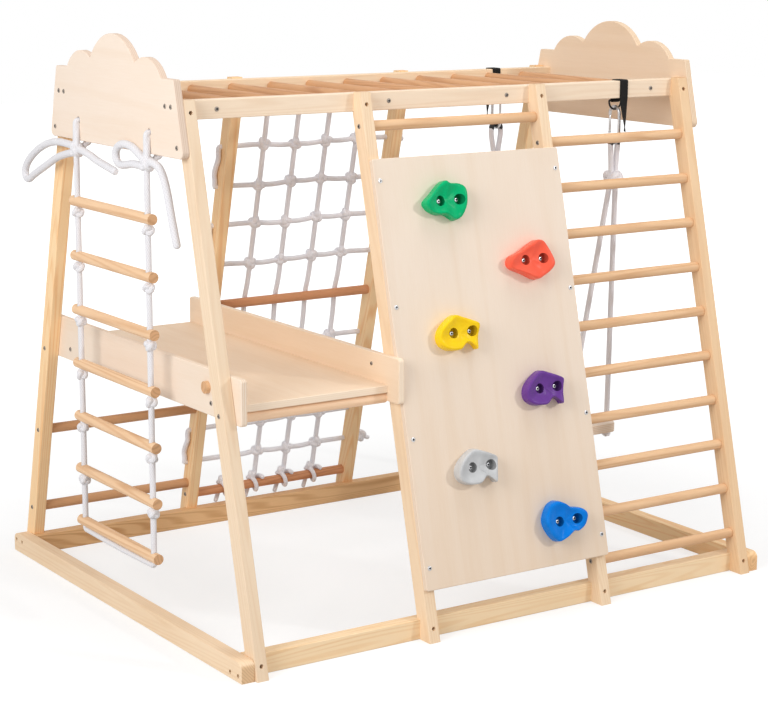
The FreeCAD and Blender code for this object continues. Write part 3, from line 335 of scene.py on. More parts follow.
class Nodes:
    """The nodes of a material or a world, with short calls that make them."""

    def __init__(self, owner, end):
        owner.use_nodes = True
        self.owner = owner
        self.tree = owner.node_tree
        self.end = self.tree.nodes[end]

    def feed(self, socket, value):
        """Link an output to a socket, or set the socket to a value."""
        if isinstance(value, bpy.types.NodeSocket):
            self.tree.links.new(value, socket)
        else:
            socket.default_value = value

    def make(self, kind, inputs, output=0, **settings):
        """One output of a new node, with its inputs by name or number."""
        node = self.tree.nodes.new("ShaderNode" + kind)
        for name, value in settings.items():
            setattr(node, name, value)
        for name, value in inputs.items():
            self.feed(node.inputs[name], value)
        return node.outputs[output]

    def place(self, kind="Object"):
        """The object's own coordinates, or with Normal its normals."""
        return self.make("TexCoord", {}, kind)

    def part(self, vector, axis):
        """One of the three numbers of a vector."""
        return self.make("SeparateXYZ", {0: vector}, axis)

    def maths(self, operation, *values):
        """One step of arithmetic."""
        return self.make("Math", dict(enumerate(values)), operation=operation)

    def wave(self, value, turns):
        """The sine of a value that makes so many full turns for each 1."""
        return self.maths("SINE", self.maths("MULTIPLY", value, turns * FULL_TURN))

    def moved(self, vector, location=(0, 0, 0), rotation=(0, 0, 0), scale=(1, 1, 1)):
        """Coordinates that are scaled, turned and moved."""
        inputs = {"Vector": vector, "Location": location, "Rotation": rotation, "Scale": scale}
        return self.make("Mapping", inputs)

    def noise(self, vector, scale, detail=2.0, rough=0.5):
        """Soft noise between 0 and 1."""
        inputs = {"Vector": vector, "Scale": scale, "Detail": detail, "Roughness": rough}
        return self.make("TexNoise", inputs, "Fac")

    def ramp(self, value, low, high, out_low=0.0, out_high=1.0):
        """A value taken from one range to another, and kept inside it."""
        inputs = {"Value": value, "From Min": low, "From Max": high, "To Min": out_low, "To Max": out_high}
        return self.make("MapRange", inputs)

    def mix(self, share, first, second):
        """Two colours mixed by a share."""
        one, other = ((*colour, 1) if isinstance(colour, tuple) else colour for colour in (first, second))
        return self.make("Mix", {0: share, 6: one, 7: other}, 2, data_type="RGBA")

    def bump(self, height, distance, strength):
        """Fine relief in the surface."""
        self.set(Normal=self.make("Bump", {"Strength": strength, "Distance": distance, "Height": height}))

    def set(self, **values):
        """Set or link the sockets of the end node, and give what the nodes belong to."""
        for name, value in values.items():
            self.feed(self.end.inputs[name.replace("_", " ")], value)
        return self.owner


def surface(name):
    """A new material under construction."""
    return Nodes(bpy.data.materials.new(name), "Principled BSDF")


# Grain directions: the turn that lays the grain along one axis of the pattern, and that axis
GRAINS = {
    "x": ((0, 0, 0), 0),
    "y": ((0, 0, 0), 1),
    "front_lean": ((LEAN, 0, 0), 2),
    "back_lean": ((-LEAN, 0, 0), 2),
}
GRAIN_STRETCH = 0.05
SEED_STEP = (1.7, 2.3, 0.9)
END_SHADE_SHARE = 0.80
WEAR_SHADE_SHARE = 0.82
BRAID_PITCH = 0.018
BRAID_STRANDS = 4
RIB_PITCH = 0.0022
RIB_COUNT = 9
WEAR_ROUGHNESS = 0.14
CLOUD_SHARE = 1.12
CLOUD_LIFT = 0.004


def shaded(colour, share):
    """A colour made darker."""
    return tuple(share * value for value in colour)


def wood(name, pale, dark, grain, seed, bands, band_share, layers=None, low_painted_shade=0.0):
    """Planed wood: growth lines and fibres along the grain, faint blotches, dark end grain or ply layers, and
    painted shade low down if asked.
    """
    shader = surface(name)
    turn, axis = GRAINS[grain]
    place = shader.place()
    turned = shader.moved(place, location=[seed * step for step in SEED_STEP], rotation=turn)
    stretch = [1.0, 1.0, 1.0]
    stretch[axis] = GRAIN_STRETCH
    fibre_place = shader.moved(turned, scale=stretch)
    swell = shader.noise(fibre_place, scale=7.0, rough=0.45)
    band = shader.ramp(shader.wave(swell, bands), -0.1, 1.0)
    fibre = shader.noise(fibre_place, scale=330.0, detail=3.0, rough=0.6)
    streak = shader.noise(fibre_place, scale=60.0)
    blotch = shader.noise(turned, scale=3.5, detail=1.0)
    tone = shader.maths("MULTIPLY", band, shader.ramp(streak, 0.3, 0.7, 0.4 * band_share, band_share))
    more = [shader.ramp(fibre, 0.35, 0.75, 0.0, 0.14), shader.ramp(blotch, 0.3, 0.7, -0.06, 0.12)]
    # Painted shade: the tone darkens towards the floor, up to the height WALL_FADE
    if low_painted_shade:
        more.append(shader.ramp(shader.part(place, 2), WALL_LOW, WALL_FADE, low_painted_shade, 0.0))
    for value in more:
        tone = shader.maths("ADD", tone, value)
    colour = shader.mix(tone, pale, dark)
    normal = shader.moved(shader.place("Normal"), rotation=turn)
    facing = shader.maths("ABSOLUTE", shader.part(normal, layers[0] if layers else axis))
    if layers:
        layer_axis, ply, (edge_pale, edge_dark) = layers
        across = shader.part(shader.moved(place, rotation=turn), layer_axis)
        cut_face = shader.ramp(facing, 0.85, 0.5)
        cut_tone = shader.mix(shader.ramp(shader.wave(across, 1 / ply), -0.3, 0.3), edge_dark, edge_pale)
    else:
        cut_face = shader.ramp(facing, 0.80, 0.95, 0.0, 0.8)
        cut_tone = shader.mix(band, dark, shaded(dark, END_SHADE_SHARE))
    colour = shader.mix(cut_face, colour, cut_tone)
    relief = shader.maths("ADD", fibre, shader.maths("MULTIPLY", band, -0.6))
    shader.bump(relief, distance=0.0004, strength=0.35)
    roughness = shader.ramp(fibre, 0.3, 0.7, 0.50, 0.66)
    return shader.set(Base_Color=colour, Roughness=roughness, Specular_IOR_Level=0.35)


def rope_material(name, painted_hollow_shade, crest):
    """White braided rope: two families of strands that cross, from the length and the turn of the tube, with
    painted shade in the hollows between them.
    """
    shader = surface(name)
    place = shader.make("UVMap", {})
    along = shader.maths("MULTIPLY", shader.part(place, 0), FULL_TURN / BRAID_PITCH)
    around = shader.maths("MULTIPLY", shader.part(place, 1), BRAID_STRANDS * FULL_TURN)
    one = shader.maths("ABSOLUTE", shader.maths("SINE", shader.maths("ADD", along, around)))
    other = shader.maths("ABSOLUTE", shader.maths("SINE", shader.maths("SUBTRACT", along, around)))
    strand = shader.ramp(shader.maths("MAXIMUM", one, other), 0.5, 0.95, 0.0, 0.75)
    fuzz = shader.ramp(shader.noise(shader.place(), scale=900.0), 0.3, 0.7, 0.0, 0.25)
    tone = shader.maths("ADD", strand, fuzz)
    # Painted shade: the hollows between the strands take the darker colour
    colour = shader.mix(tone, painted_hollow_shade, crest)
    shader.bump(tone, distance=0.0009, strength=0.6)
    return shader.set(Base_Color=colour, Roughness=0.85, Specular_IOR_Level=0.2, Sheen_Weight=0.12)


def webbing_material():
    """Black webbing with fine ribs that cross."""
    shader = surface("webbing")
    place = shader.make("UVMap", {})
    ribs = shader.wave(shader.part(place, 0), 1 / RIB_PITCH)
    weave = shader.maths("MULTIPLY", ribs, shader.wave(shader.part(place, 1), RIB_COUNT))
    colour = shader.mix(shader.ramp(weave, -1, 1), (0.006, 0.0056, 0.0053), (0.018, 0.0163, 0.0155))
    shader.bump(weave, distance=0.0004, strength=0.7)
    return shader.set(Base_Color=colour, Roughness=0.70, Specular_IOR_Level=0.14)


def metal(name, colour, roughness, metallic=1.0):
    """Metal or a dark coat with fine wear, which is a little darker and rougher."""
    shader = surface(name)
    wear = shader.noise(shader.place(), scale=220.0, detail=3.0)
    tint = shader.mix(shader.ramp(wear, 0.3, 0.75), colour, shaded(colour, WEAR_SHADE_SHARE))
    shader.bump(wear, distance=0.0001, strength=0.3)
    worn = shader.ramp(wear, 0.3, 0.7, roughness, roughness + WEAR_ROUGHNESS)
    return shader.set(Base_Color=tint, Metallic=metallic, Roughness=worn)


def plastic(name, colour, gloss):
    """Moulded hold plastic: a fine grain, and slightly paler clouds."""
    shader = surface(name)
    place = shader.place()
    grain = shader.noise(place, scale=1400.0)
    cloud = shader.noise(place, scale=45.0)
    paler = tuple(min(1.0, CLOUD_SHARE * value + CLOUD_LIFT) for value in colour)
    tint = shader.mix(shader.ramp(cloud, 0.3, 0.7), colour, paler)
    shader.bump(grain, distance=0.0003, strength=0.25)
    roughness = shader.ramp(grain, 0.3, 0.7, 0.22, 0.34)
    return shader.set(Base_Color=tint, Roughness=roughness, Specular_IOR_Level=gloss)


# Colours of the woods: the pale wood, and the dark of its growth lines; some are lit and shaded copies of one
# wood, with painted light and painted shade for the pieces that take them
PINE = ((0.930, 0.715, 0.495), (0.760, 0.485, 0.260))
FAIR_PINE = ((0.960, 0.775, 0.590), (0.800, 0.560, 0.360))
PALE_PINE = ((0.865, 0.680, 0.490), (0.740, 0.500, 0.300))
WARM_PINE = ((0.890, 0.625, 0.380), (0.720, 0.420, 0.205))
# The back base rail's pine: its deep tone, and painted shade
DEEP_PINE_PAINTED_SHADE = ((0.850, 0.540, 0.275), (0.580, 0.300, 0.120))
# The front base rail's pine: more golden, and paler as painted light
BRIGHT_PINE_PAINTED_LIGHT = ((0.995, 0.760, 0.490), (0.900, 0.600, 0.320))
# The back legs' and right base rail's pine: their golden tone, and painted warm bounce light on faces that
# lie in shade
GOLDEN_PINE_PAINTED_BOUNCE = ((0.995, 0.715, 0.415), (0.900, 0.520, 0.240))
BEECH = ((0.840, 0.545, 0.315), (0.640, 0.350, 0.170))
DARK_BEECH = ((0.700, 0.385, 0.195), (0.460, 0.205, 0.090))
RED_BEECH = ((0.710, 0.330, 0.160), (0.480, 0.190, 0.082))
FAIR_BEECH = ((0.980, 0.690, 0.470), (0.860, 0.560, 0.340))
PALE_BEECH = ((0.880, 0.600, 0.370), (0.640, 0.355, 0.175))
PLY = ((0.885, 0.745, 0.615), (0.800, 0.610, 0.440))
# The left end board's ply: a paler copy of PLY, painted light for the board that faces the left lamp
FAIR_PLY_PAINTED_LIGHT = ((0.905, 0.765, 0.645), (0.830, 0.645, 0.485))
# A warmer ply: the deck's own tone, and on the right end board and right deck board also painted warm shade
WARM_PLY = ((0.890, 0.700, 0.520), (0.770, 0.545, 0.345))
# Cut edges of the deck and the right deck board, painted pale as light that catches them from the front
PAINTED_LIGHT_EDGE = ((0.970, 0.800, 0.625), (0.935, 0.750, 0.570))
SHADED_EDGE = ((0.770, 0.610, 0.490), (0.690, 0.520, 0.400))

# Two copies of one white rope: a dimmer one for the ladder, ties and bows beside the left lamp, and a paler,
# bluer one with painted light for the net and swing ropes, which hang in shade
rope_white = rope_material("rope", (0.73, 0.715, 0.745), (0.85, 0.840, 0.865))
rope_painted_light = rope_material("painted_light_rope", (0.86, 0.845, 0.900), (0.97, 0.960, 0.995))
black_webbing = webbing_material()
steel = metal("steel", (0.60, 0.60, 0.61), 0.28)
zinc = metal("zinc", (0.33, 0.285, 0.245), 0.42)
black_steel = metal("black_steel", (0.045, 0.038, 0.036), 0.36, metallic=0.7)
# Black: the real sleeve over the swing rope's eye, and painted shade on the floors of screw and bolt sockets
black_sleeve_and_socket_shade = metal("black_sleeve_and_socket_shade", (0.012, 0.012, 0.013), 0.45, metallic=0.0)


# Mesh pieces

def placed(name, data):
    """A new object in the scene."""
    piece = bpy.data.objects.new(name, data)
    bpy.context.scene.collection.objects.link(piece)
    return piece


def finish_piece(name, form, material, node, painted_shade_material=None):
    """Turn a bmesh into a piece that stands for a node and rides on the node's body; a second material is
    painted shade.
    """
    mesh = bpy.data.meshes.new(name)
    form.to_mesh(mesh)
    form.free()
    mesh.shade_smooth()
    mesh.set_sharp_from_angle(angle=SHARP_ANGLE)
    piece = placed(name, mesh)
    mesh.materials.append(material)
    if painted_shade_material:
        mesh.materials.append(painted_shade_material)
    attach(piece, body_of[node])
    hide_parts(node)
    return piece


def spline_points(route, steps=SPLINE_STEPS):
    """Points along a smooth line whose control points are the route's."""
    data = bpy.data.curves.new("route", "CURVE")
    data.dimensions = "3D"
    data.resolution_u = steps
    spline = data.splines.new("NURBS")
    spline.points.add(len(route) - 1)
    for point, place in zip(spline.points, route):
        point.co = (*place, 1)
    spline.order_u = 3
    spline.use_endpoint_u = True
    holder = bpy.data.objects.new("route", data)
    line = bpy.data.meshes.new_from_object(holder)
    points = [vertex.co.copy() for vertex in line.vertices]
    bpy.data.objects.remove(holder)
    bpy.data.meshes.remove(line)
    bpy.data.curves.remove(data)
    return points


def frames_along(line, closed):
    """Two directions across a line at each of its points, carried along without twist."""
    count = len(line)
    befores = (line[-1:] if closed else line[:1]) + line[:-1]
    afters = line[1:] + (line[:1] if closed else line[-1:])
    tangents = [(after - before).normalized() for before, after in zip(befores, afters)]
    across = tangents[0].orthogonal().normalized()
    first = across.copy()
    carried = []
    for tangent in tangents:
        across = (across - tangent * across.dot(tangent)).normalized()
        carried.append((tangent, across.copy()))
    twist = 0.0
    if closed:
        last = (across - tangents[0] * across.dot(tangents[0])).normalized()
        twist = math.atan2(last.cross(first).dot(tangents[0]), last.dot(first))
    result = []
    for index, (tangent, across) in enumerate(carried):
        turned = Matrix.Rotation(twist * index / count, 3, tangent) @ across
        result.append((turned, tangent.cross(turned)))
    return result


def lengths_along(line):
    """How far along a line each of its points is."""
    lengths = [0.0]
    for before, after in zip(line, line[1:]):
        lengths.append(lengths[-1] + (after - before).length)
    return lengths


def turns(count):
    """The angles of one full turn, in even steps."""
    return [FULL_TURN * index / count for index in range(count)]


def skin(form, rings, closed=False):
    """Add the faces between rings and the caps of open ends: gives (face, row, side) rows, and the caps."""
    faces = []
    for row in range(len(rings) if closed else len(rings) - 1):
        lower, upper = rings[row], rings[(row + 1) % len(rings)]
        for side in range(len(lower)):
            beside = (side + 1) % len(lower)
            face = form.faces.new((lower[side], lower[beside], upper[beside], upper[side]))
            faces.append((face, row, side))
    caps = [] if closed else [form.faces.new(rings[0][::-1]), form.faces.new(rings[-1])]
    return faces, caps


def sweep(form, line, radius, sides=ROPE_SIDES, closed=False, round_ends=True):
    """Add a round tube along a line, with its length in metres and its turn as texture coordinates."""
    layer = form.loops.layers.uv.verify()
    lengths = lengths_along(line)
    rows = [(point, radius, length, across) for point, length, across in
            zip(line, lengths, frames_along(line, closed))]
    if round_ends and not closed:
        for at_start in (True, False):
            end, _, length, across = rows[0] if at_start else rows[-1]
            outward = (line[0] - line[1]).normalized() if at_start else (line[-1] - line[-2]).normalized()
            for step_share, width_share in ROUND_END_SHARES:
                row = (end + outward * (radius * step_share), radius * width_share,
                       length + (-1 if at_start else 1) * radius * step_share, across)
                rows = [row] + rows if at_start else rows + [row]
    rings = []
    for centre, size, _, (across, aside) in rows:
        rings.append([form.verts.new(centre + (across * math.cos(angle) + aside * math.sin(angle)) * size)
                      for angle in turns(sides)])
    faces, caps = skin(form, rings, closed)
    row_lengths = [row[2] for row in rows]
    if closed:
        row_lengths.append(lengths[-1] + (line[0] - line[-1]).length)
    for face, row, side in faces:
        start, end = row_lengths[row], row_lengths[row + 1]
        corners = ((start, side), (start, side + 1), (end, side + 1), (end, side))
        for loop, (length, turn) in zip(face.loops, corners):
            loop[layer].uv = (length, turn / sides)
    for cap, length in zip(caps, (row_lengths[0], row_lengths[-1])):
        for loop in cap.loops:
            loop[layer].uv = (length, 0.0)


def knot_line(centre, axis, wide, high, spin):
    """A closed line that crosses over itself three times round an axis, as an overhand knot does."""
    across = axis.orthogonal().normalized()
    aside = axis.cross(across)
    points = []
    for angle in turns(KNOT_STEPS):
        first = (math.sin(angle) + 2 * math.sin(2 * angle)) / 3
        second = (math.cos(angle) - 2 * math.cos(2 * angle)) / 3
        turned_first = first * math.cos(spin) - second * math.sin(spin)
        turned_second = first * math.sin(spin) + second * math.cos(spin)
        points.append(centre + (across * turned_first + aside * turned_second) * wide
                      - axis * (math.sin(3 * angle) * high))
    return points


def add_knot(form, centre, axis, knot, spin=0.0):
    """Add a knot round an axis: its outer radius, its rope's radius and the share of its height."""
    radius, rope, high_share = knot
    reach = radius - rope
    line = knot_line(centre, axis.normalized(), reach, reach * high_share, spin)
    sweep(form, line, rope, sides=KNOT_SIDES, closed=True)


def islands(node):
    """The separate solids of a node: their points, middle and main directions from short to long."""
    mesh = nodes[node].data
    places = [tuple(round(value, 6) for value in vertex.co) for vertex in mesh.vertices]
    parent = {place: place for place in places}

    def root(place):
        while parent[place] != place:
            parent[place] = parent[parent[place]]
            place = parent[place]
        return place

    for edge in mesh.edges:
        first, second = (root(places[index]) for index in edge.vertices)
        parent[first] = second
    groups = {}
    for place in set(places):
        groups.setdefault(root(place), []).append(place)
    found = []
    for key in sorted(groups):
        points = np.array(sorted(groups[key]))
        middle = (points.min(0) + points.max(0)) / 2
        _, directions = np.linalg.eigh(np.cov((points - points.mean(0)).T))
        found.append((points, Vector(middle), [Vector(directions[:, index]) for index in range(3)]))
    return found


def revolve(form, start, axis, profile):
    """Add a turned shape: rows of (height along the axis, radius, corners of its outline or 0 for round);
    rows with corners, the socket, take the second material, painted shade.
    """
    across = axis.orthogonal().normalized()
    aside = axis.cross(across)
    rings = []
    for height, radius, corners in profile:
        ring = []
        for angle in turns(HEAD_SIDES):
            size = radius
            if corners:
                part = FULL_TURN / corners
                size = radius * math.cos(part / 2) / math.cos(angle % part - part / 2)
            outward = across * math.cos(angle) + aside * math.sin(angle)
            ring.append(form.verts.new(start + axis * height + outward * size))
        rings.append(ring)
    faces, caps = skin(form, rings)
    # Painted shade: the socket's faces take the second material
    for face, row, _ in faces + [(caps[-1], -1, 0)]:
        face.material_index = 1 if profile[row][2] else 0


# Screw heads and bolts

WOODEN_ENDS = ("_rail", "_board", "_rung", "_rungs", "_bars", "_wall", "deck")
WOODEN = [name for name in nodes if name.endswith(WOODEN_ENDS) or "_leg_" in name]


def wooden_surfaces():
    """One tree of all the wooden faces, for finding what a head sits on."""
    corners, faces = [], []
    for name in WOODEN:
        mesh = nodes[name].data
        start = len(corners)
        corners += [vertex.co.copy() for vertex in mesh.vertices]
        faces += [[start + index for index in polygon.vertices] for polygon in mesh.polygons]
    return BVHTree.FromPolygons(corners, faces)


def head_profile(radius, height):
    """A low domed head with a hexagon socket."""
    return [(rise * height, wide * radius, corners) for rise, wide, corners in HEAD_SHARES]


def cap_profile(length, shank, head):
    """A round shank with a cap head, whose socket is at its outer end."""
    tip = [(rise * BOLT_CAP, wide * shank, 0) for rise, wide in BOLT_TIP_SHARES]
    cap = [(length - drop * BOLT_CAP, wide * head, corners) for drop, wide, corners in BOLT_CAP_SHARES]
    return tip + [(length - BOLT_CAP, shank, 0)] + cap


def reaches(points, middle, axis):
    """How far points lie along an axis through a middle, and away from it."""
    offsets = points - np.array(middle)
    along = offsets @ np.array(axis)
    return along, np.linalg.norm(offsets - np.outer(along, np.array(axis)), axis=1)


def dress_screws(node, tree, metal_look, extra_seats=()):
    """Replace the plain heads of a node by domed heads with sockets, on the same seats."""
    on_wood, in_holds = bmesh.new(), bmesh.new()
    for points, middle, (thin, _, _) in islands(node):
        gaps = [tree.ray_cast(middle, way)[3] or math.inf for way in (thin, -thin)]
        on_hold = min(gaps) > HOLD_FLOOR / 2
        form, spread = (in_holds, HOLD_HEAD_SPREAD_SHARE) if on_hold else (on_wood, HEAD_SPREAD_SHARE)
        axis = -thin if gaps[0] < gaps[1] else thin
        along, away = reaches(points, middle, axis)
        height = along.max() - along.min()
        profile = head_profile(away.max() * spread, height * HEAD_DOME_SHARE)
        revolve(form, middle - axis * (height / 2), axis, profile)
    for seat, axis in extra_seats:
        revolve(on_wood, seat, axis, head_profile(BOARD_HEAD, BOARD_HEAD_RISE))
    # The heads' sockets get painted shade
    finish_piece(node + "_heads", on_wood, metal_look, node, black_sleeve_and_socket_shade)
    if in_holds.faces:
        finish_piece(node + "_bright_heads", in_holds, steel, node, black_sleeve_and_socket_shade)


def dress_bolts(node):
    """Replace plain bolts by cap heads with sockets on round shanks."""
    form = bmesh.new()
    for points, middle, (_, _, long) in islands(node):
        along, away = reaches(points, middle, long)
        high_end = away[along > along.max() - CLEAR].max()
        low_end = away[along < along.min() + CLEAR].max()
        axis = long if high_end > low_end else -long
        length = along.max() - along.min()
        profile = cap_profile(length, min(high_end, low_end), BOLT_SPREAD_SHARE * max(high_end, low_end))
        revolve(form, middle - axis * (length / 2), axis, profile)
    finish_piece(node + "_caps", form, black_steel, node, black_sleeve_and_socket_shade)


wood_tree = wooden_surfaces()
board_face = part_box("right_deck_board")[0][0]
board_seats = [(Vector((board_face, y, BOARD_SCREW_Z)), -RIGHT) for y in (-BOARD_SCREW_Y, BOARD_SCREW_Y)]
dress_screws("wall_screws", wood_tree, steel)
dress_screws("frame_screws", wood_tree, zinc, board_seats)
dress_screws("rung_screws", wood_tree, zinc)
for node in ("leg_bolts", "base_bolts"):
    dress_bolts(node)


# Holds

def smooth_outline(shares, count):
    """Points at even steps of a closed smooth curve through the outline's points."""
    points = []
    size = len(shares)
    for index in range(count):
        at = index * size / count
        base = int(at)
        part = at - base
        before, start, end, after = (Vector(shares[(base + step) % size]) for step in (-1, 0, 1, 2))
        points.append(0.5 * (2 * start + (end - before) * part
                             + (2 * before - 5 * start + 4 * end - after) * part ** 2
                             + (3 * start - before - 3 * end + after) * part ** 3))
    return points


def smooth_step(value):
    """An even start and stop between 0 and 1."""
    value = min(1.0, max(0.0, value))
    return value * value * (3 - 2 * value)


def hold_body(outline, middle_x, middle_up, phase):
    """The solid of a hold: steep sides, a rounded rim and a wavy top that dips at its two screws."""
    form = bmesh.new()
    rings = []
    profile = spline_points([Vector((wide, 0, rise)) for wide, rise in HOLD_PROFILE_SHARES], HOLD_STEPS)
    for wide, _, rise in profile:
        ring = []
        for (a, b), angle in zip(outline, turns(len(outline))):
            across, up = a * HOLD_WIDTH * wide, b * HOLD_HEIGHT * wide
            level = rise * (HOLD_DEPTH + HOLD_WAVE * wide * math.cos(HOLD_RIDGES * angle + phase))
            for screw_a, screw_b in HOLD_SCREW_SHARES:
                away = math.hypot(across - screw_a * HOLD_WIDTH, up - screw_b * HOLD_HEIGHT)
                level -= rise * HOLD_DISH * math.exp(-(away / HOLD_DISH_REACH) ** 2)
            x = middle_x + across - HOLD_LEAN_SHARE * rise * HOLD_DEPTH
            ring.append(form.verts.new(on_front(x, middle_up + up, WALL_THICK + level)))
        rings.append(ring)
    skin(form, rings)
    bmesh.ops.recalc_face_normals(form, faces=form.faces)
    return form


def recess_cutter(middle_x, middle_up):
    """Two flared wells over the screws of a hold, whose faces take the second material: painted shade."""
    form = bmesh.new()
    outward = on_front(0, 0, 1) - on_front(0, 0, 0)
    for a, b in HOLD_SCREW_SHARES:
        seat = on_front(middle_x + a * HOLD_WIDTH, middle_up + b * HOLD_HEIGHT, WALL_THICK + HOLD_FLOOR)
        revolve(form, seat, outward, [(0, RECESS_SEAT, 0), (HOLD_FLOOR, RECESS_MOUTH, 0),
                                      (2 * HOLD_FLOOR, RECESS_FLARE_SHARE * RECESS_MOUTH, 0)])
    # Painted shade: the wells' faces take the second material
    for face in form.faces:
        face.material_index = 1
    bmesh.ops.recalc_face_normals(form, faces=form.faces)
    return form


def scratch_object(form, materials):
    """An object for a cut, which is taken out again after it."""
    mesh = bpy.data.meshes.new("scratch")
    for material in materials:
        mesh.materials.append(material)
    form.to_mesh(mesh)
    form.free()
    return placed("scratch", mesh)


def carved(body, cutter, materials):
    """A bmesh of the body with the cutter's space taken out of it; the cut faces keep the second material,
    the painted shade of the wells.
    """
    holders = [scratch_object(form, materials) for form in (body, cutter)]
    carve = holders[0].modifiers.new("carve", "BOOLEAN")
    carve.operation = "DIFFERENCE"
    carve.solver = "EXACT"
    carve.object = holders[1]
    evaluated = holders[0].evaluated_get(bpy.context.evaluated_depsgraph_get())
    result = bpy.data.meshes.new_from_object(evaluated)
    form = bmesh.new()
    form.from_mesh(result)
    bpy.data.meshes.remove(result)
    for holder in holders:
        mesh = holder.data
        bpy.data.objects.remove(holder)
        bpy.data.meshes.remove(mesh)
    return form


def dress_hold(colour_name, shares, place_shares, colour, phase):
    """A moulded hold on the climbing wall, with a deep well over each of its screws, painted in shade with a
    darker copy of its plastic.
    """
    middle_x = place_shares[0] * WALL_HALF
    middle_up = WALL_LOW + place_shares[1] * WALL_LENGTH
    body = hold_body(smooth_outline(shares, HOLD_AROUND), middle_x, middle_up, phase)
    slot = f"{colour_name}_plastic"
    outer = plastic(slot, colour, PLASTIC_GLOSS)
    # Painted shade: a darker, less glossy copy of the plastic for the walls of the wells
    well = plastic(f"{colour_name}_well", shaded(colour, WELL_SHADE_SHARE), WELL_GLOSS)
    form = carved(body, recess_cutter(middle_x, middle_up), (outer, well))
    finish_piece(f"{colour_name}_moulding", form, outer, f"{colour_name}_hold", well)


for phase, (colour_name, (shares, place_shares, colour)) in enumerate(HOLDS.items()):
    dress_hold(colour_name, shares, place_shares, colour, phase)

# Net: upright ropes, one rope that weaves through the legs in rows, and a knot at each crossing

line_xs = [(index - (NET_LINES - 1) / 2) * NET_PITCH for index in range(NET_LINES)]
row_ups = [share * NET_TOP for share in NET_ROW_SHARES]


def crossing(row, line):
    """Where a row of the net crosses an upright rope."""
    return on_back(line_xs[line], row_ups[row] + NET_ROW_LIFTS[row][line], NET_LEVEL)


def upright_route(line):
    """An upright rope from the top rail, past the high rung and down to the low rung."""
    rung_up = NET_HIGH_Z / math.cos(LEAN) + LEG_DEPTH / 2 * math.tan(LEAN)
    x = line_xs[line]
    route = [on_back(x, NET_TOP, level) for level in NET_TOP_LEVELS]
    for row, up in enumerate(row_ups):
        if row > 0 and row_ups[row - 1] > rung_up > up:
            route += [on_back(x, rung_up + rise, level) for rise, level in NET_HIGH_BYPASS]
        route.append(crossing(row, line))
    return route + [on_back(x, up, NET_LEVEL) for up in NET_FOOT_UPS]


def weave_route():
    """The one rope of all the rows, to and fro through the legs, with slack links outside them."""
    weave = []
    for row, up in enumerate(row_ups):
        hand = -1 if row % 2 == 0 else 1
        knots = [crossing(row, line) for line in range(NET_LINES)[::hand]]
        stretch = [on_back(-hand * x, up, NET_LEVEL) for x in NET_EDGE_XS] + knots[:1]
        for before, after in zip(knots, knots[1:]):
            stretch += [(before + after) / 2 - UP * NET_SAG, after]
        stretch += [on_back(hand * x, up, NET_LEVEL) for x in NET_EDGE_XS[::-1]]
        if row:
            stretch.insert(1, on_back(-hand * (NET_LINK_X + LINK_STEP), up, NET_LEVEL))
            weave.append(on_back(-hand * NET_LINK_X, up + LINK_TURN, NET_LEVEL))
        weave += stretch
        if row < len(row_ups) - 1:
            weave.append(on_back(hand * NET_LINK_X, up - LINK_TURN, NET_LEVEL))
            for share, slack_share in LINK_SLACK_SHARES:
                level = NET_LEVEL + LINK_SLACK * slack_share
                weave.append(on_back(hand * NET_LINK_X, up + (row_ups[row + 1] - up) * share, level))
    return weave


def add_wrap(form, x):
    """Add a rope's turns round the low rung, with a knot on top and a tail below."""
    middle_y = FOOT_REACH - math.tan(LEAN) * NET_LOW_Z - LEG_DEPTH / math.cos(LEAN) / 2
    radius = RUNG_RADIUS + CLEAR + NET_ROPE
    wrap = []
    for step in range(WRAP_STEPS + 1):
        share = step / WRAP_STEPS
        angle = math.radians(WRAP_START + WRAP_SWEEP * share)
        wrap.append(Vector((x + (share - 0.5) * WRAP_PITCH, middle_y + radius * math.cos(angle),
                            NET_LOW_Z + radius * math.sin(angle))))
    sweep(form, wrap, NET_ROPE)
    top = Vector((x + WRAP_KNOT_ALONG_SHARE * WRAP_PITCH, middle_y, NET_LOW_Z + radius + NET_ROPE))
    add_knot(form, top, WRAP_KNOT_AXIS, WRAP_KNOT, x)
    tail = [Vector((x + along * WRAP_PITCH, middle_y + deep * radius, NET_LOW_Z + rise))
            for along, deep, rise in WRAP_TAIL]
    sweep(form, spline_points(tail), NET_ROPE)


def dress_net():
    """All of the net's ropes, with a knot at each crossing and at the ends of the rows."""
    form = bmesh.new()
    for line in range(NET_LINES):
        sweep(form, spline_points(upright_route(line)), NET_ROPE_LOOK)
    sweep(form, spline_points(weave_route(), WEAVE_STEPS), NET_ROPE_LOOK)
    out_of_net = on_back(0, 0, 1) - on_back(0, 0, 0)
    for row in range(len(row_ups)):
        for line in range(NET_LINES):
            spin = NET_KNOT_ROW_SPIN * row + NET_KNOT_LINE_SPIN * line
            add_knot(form, crossing(row, line), out_of_net, NET_KNOT, spin)
    for up in (row_ups[0], row_ups[-1]):
        add_knot(form, on_back(MID_FACE + END_TAIL[0][0], up, NET_LEVEL), RIGHT, ROW_END_KNOT)
    for x in line_xs:
        add_wrap(form, x)
    tail = [on_back(MID_FACE + aside, row_ups[-1] + rise, NET_LEVEL + out) for aside, rise, out in END_TAIL]
    sweep(form, spline_points(tail), NET_ROPE)
    add_knot(form, tail[1], END_TAIL_AXIS, NET_KNOT, END_TAIL_SPIN)
    finish_piece("net_ropes", form, rope_painted_light, "climbing_net")


dress_net()


# Rope ladder: its rope, the ties that it hangs on and their loose ends

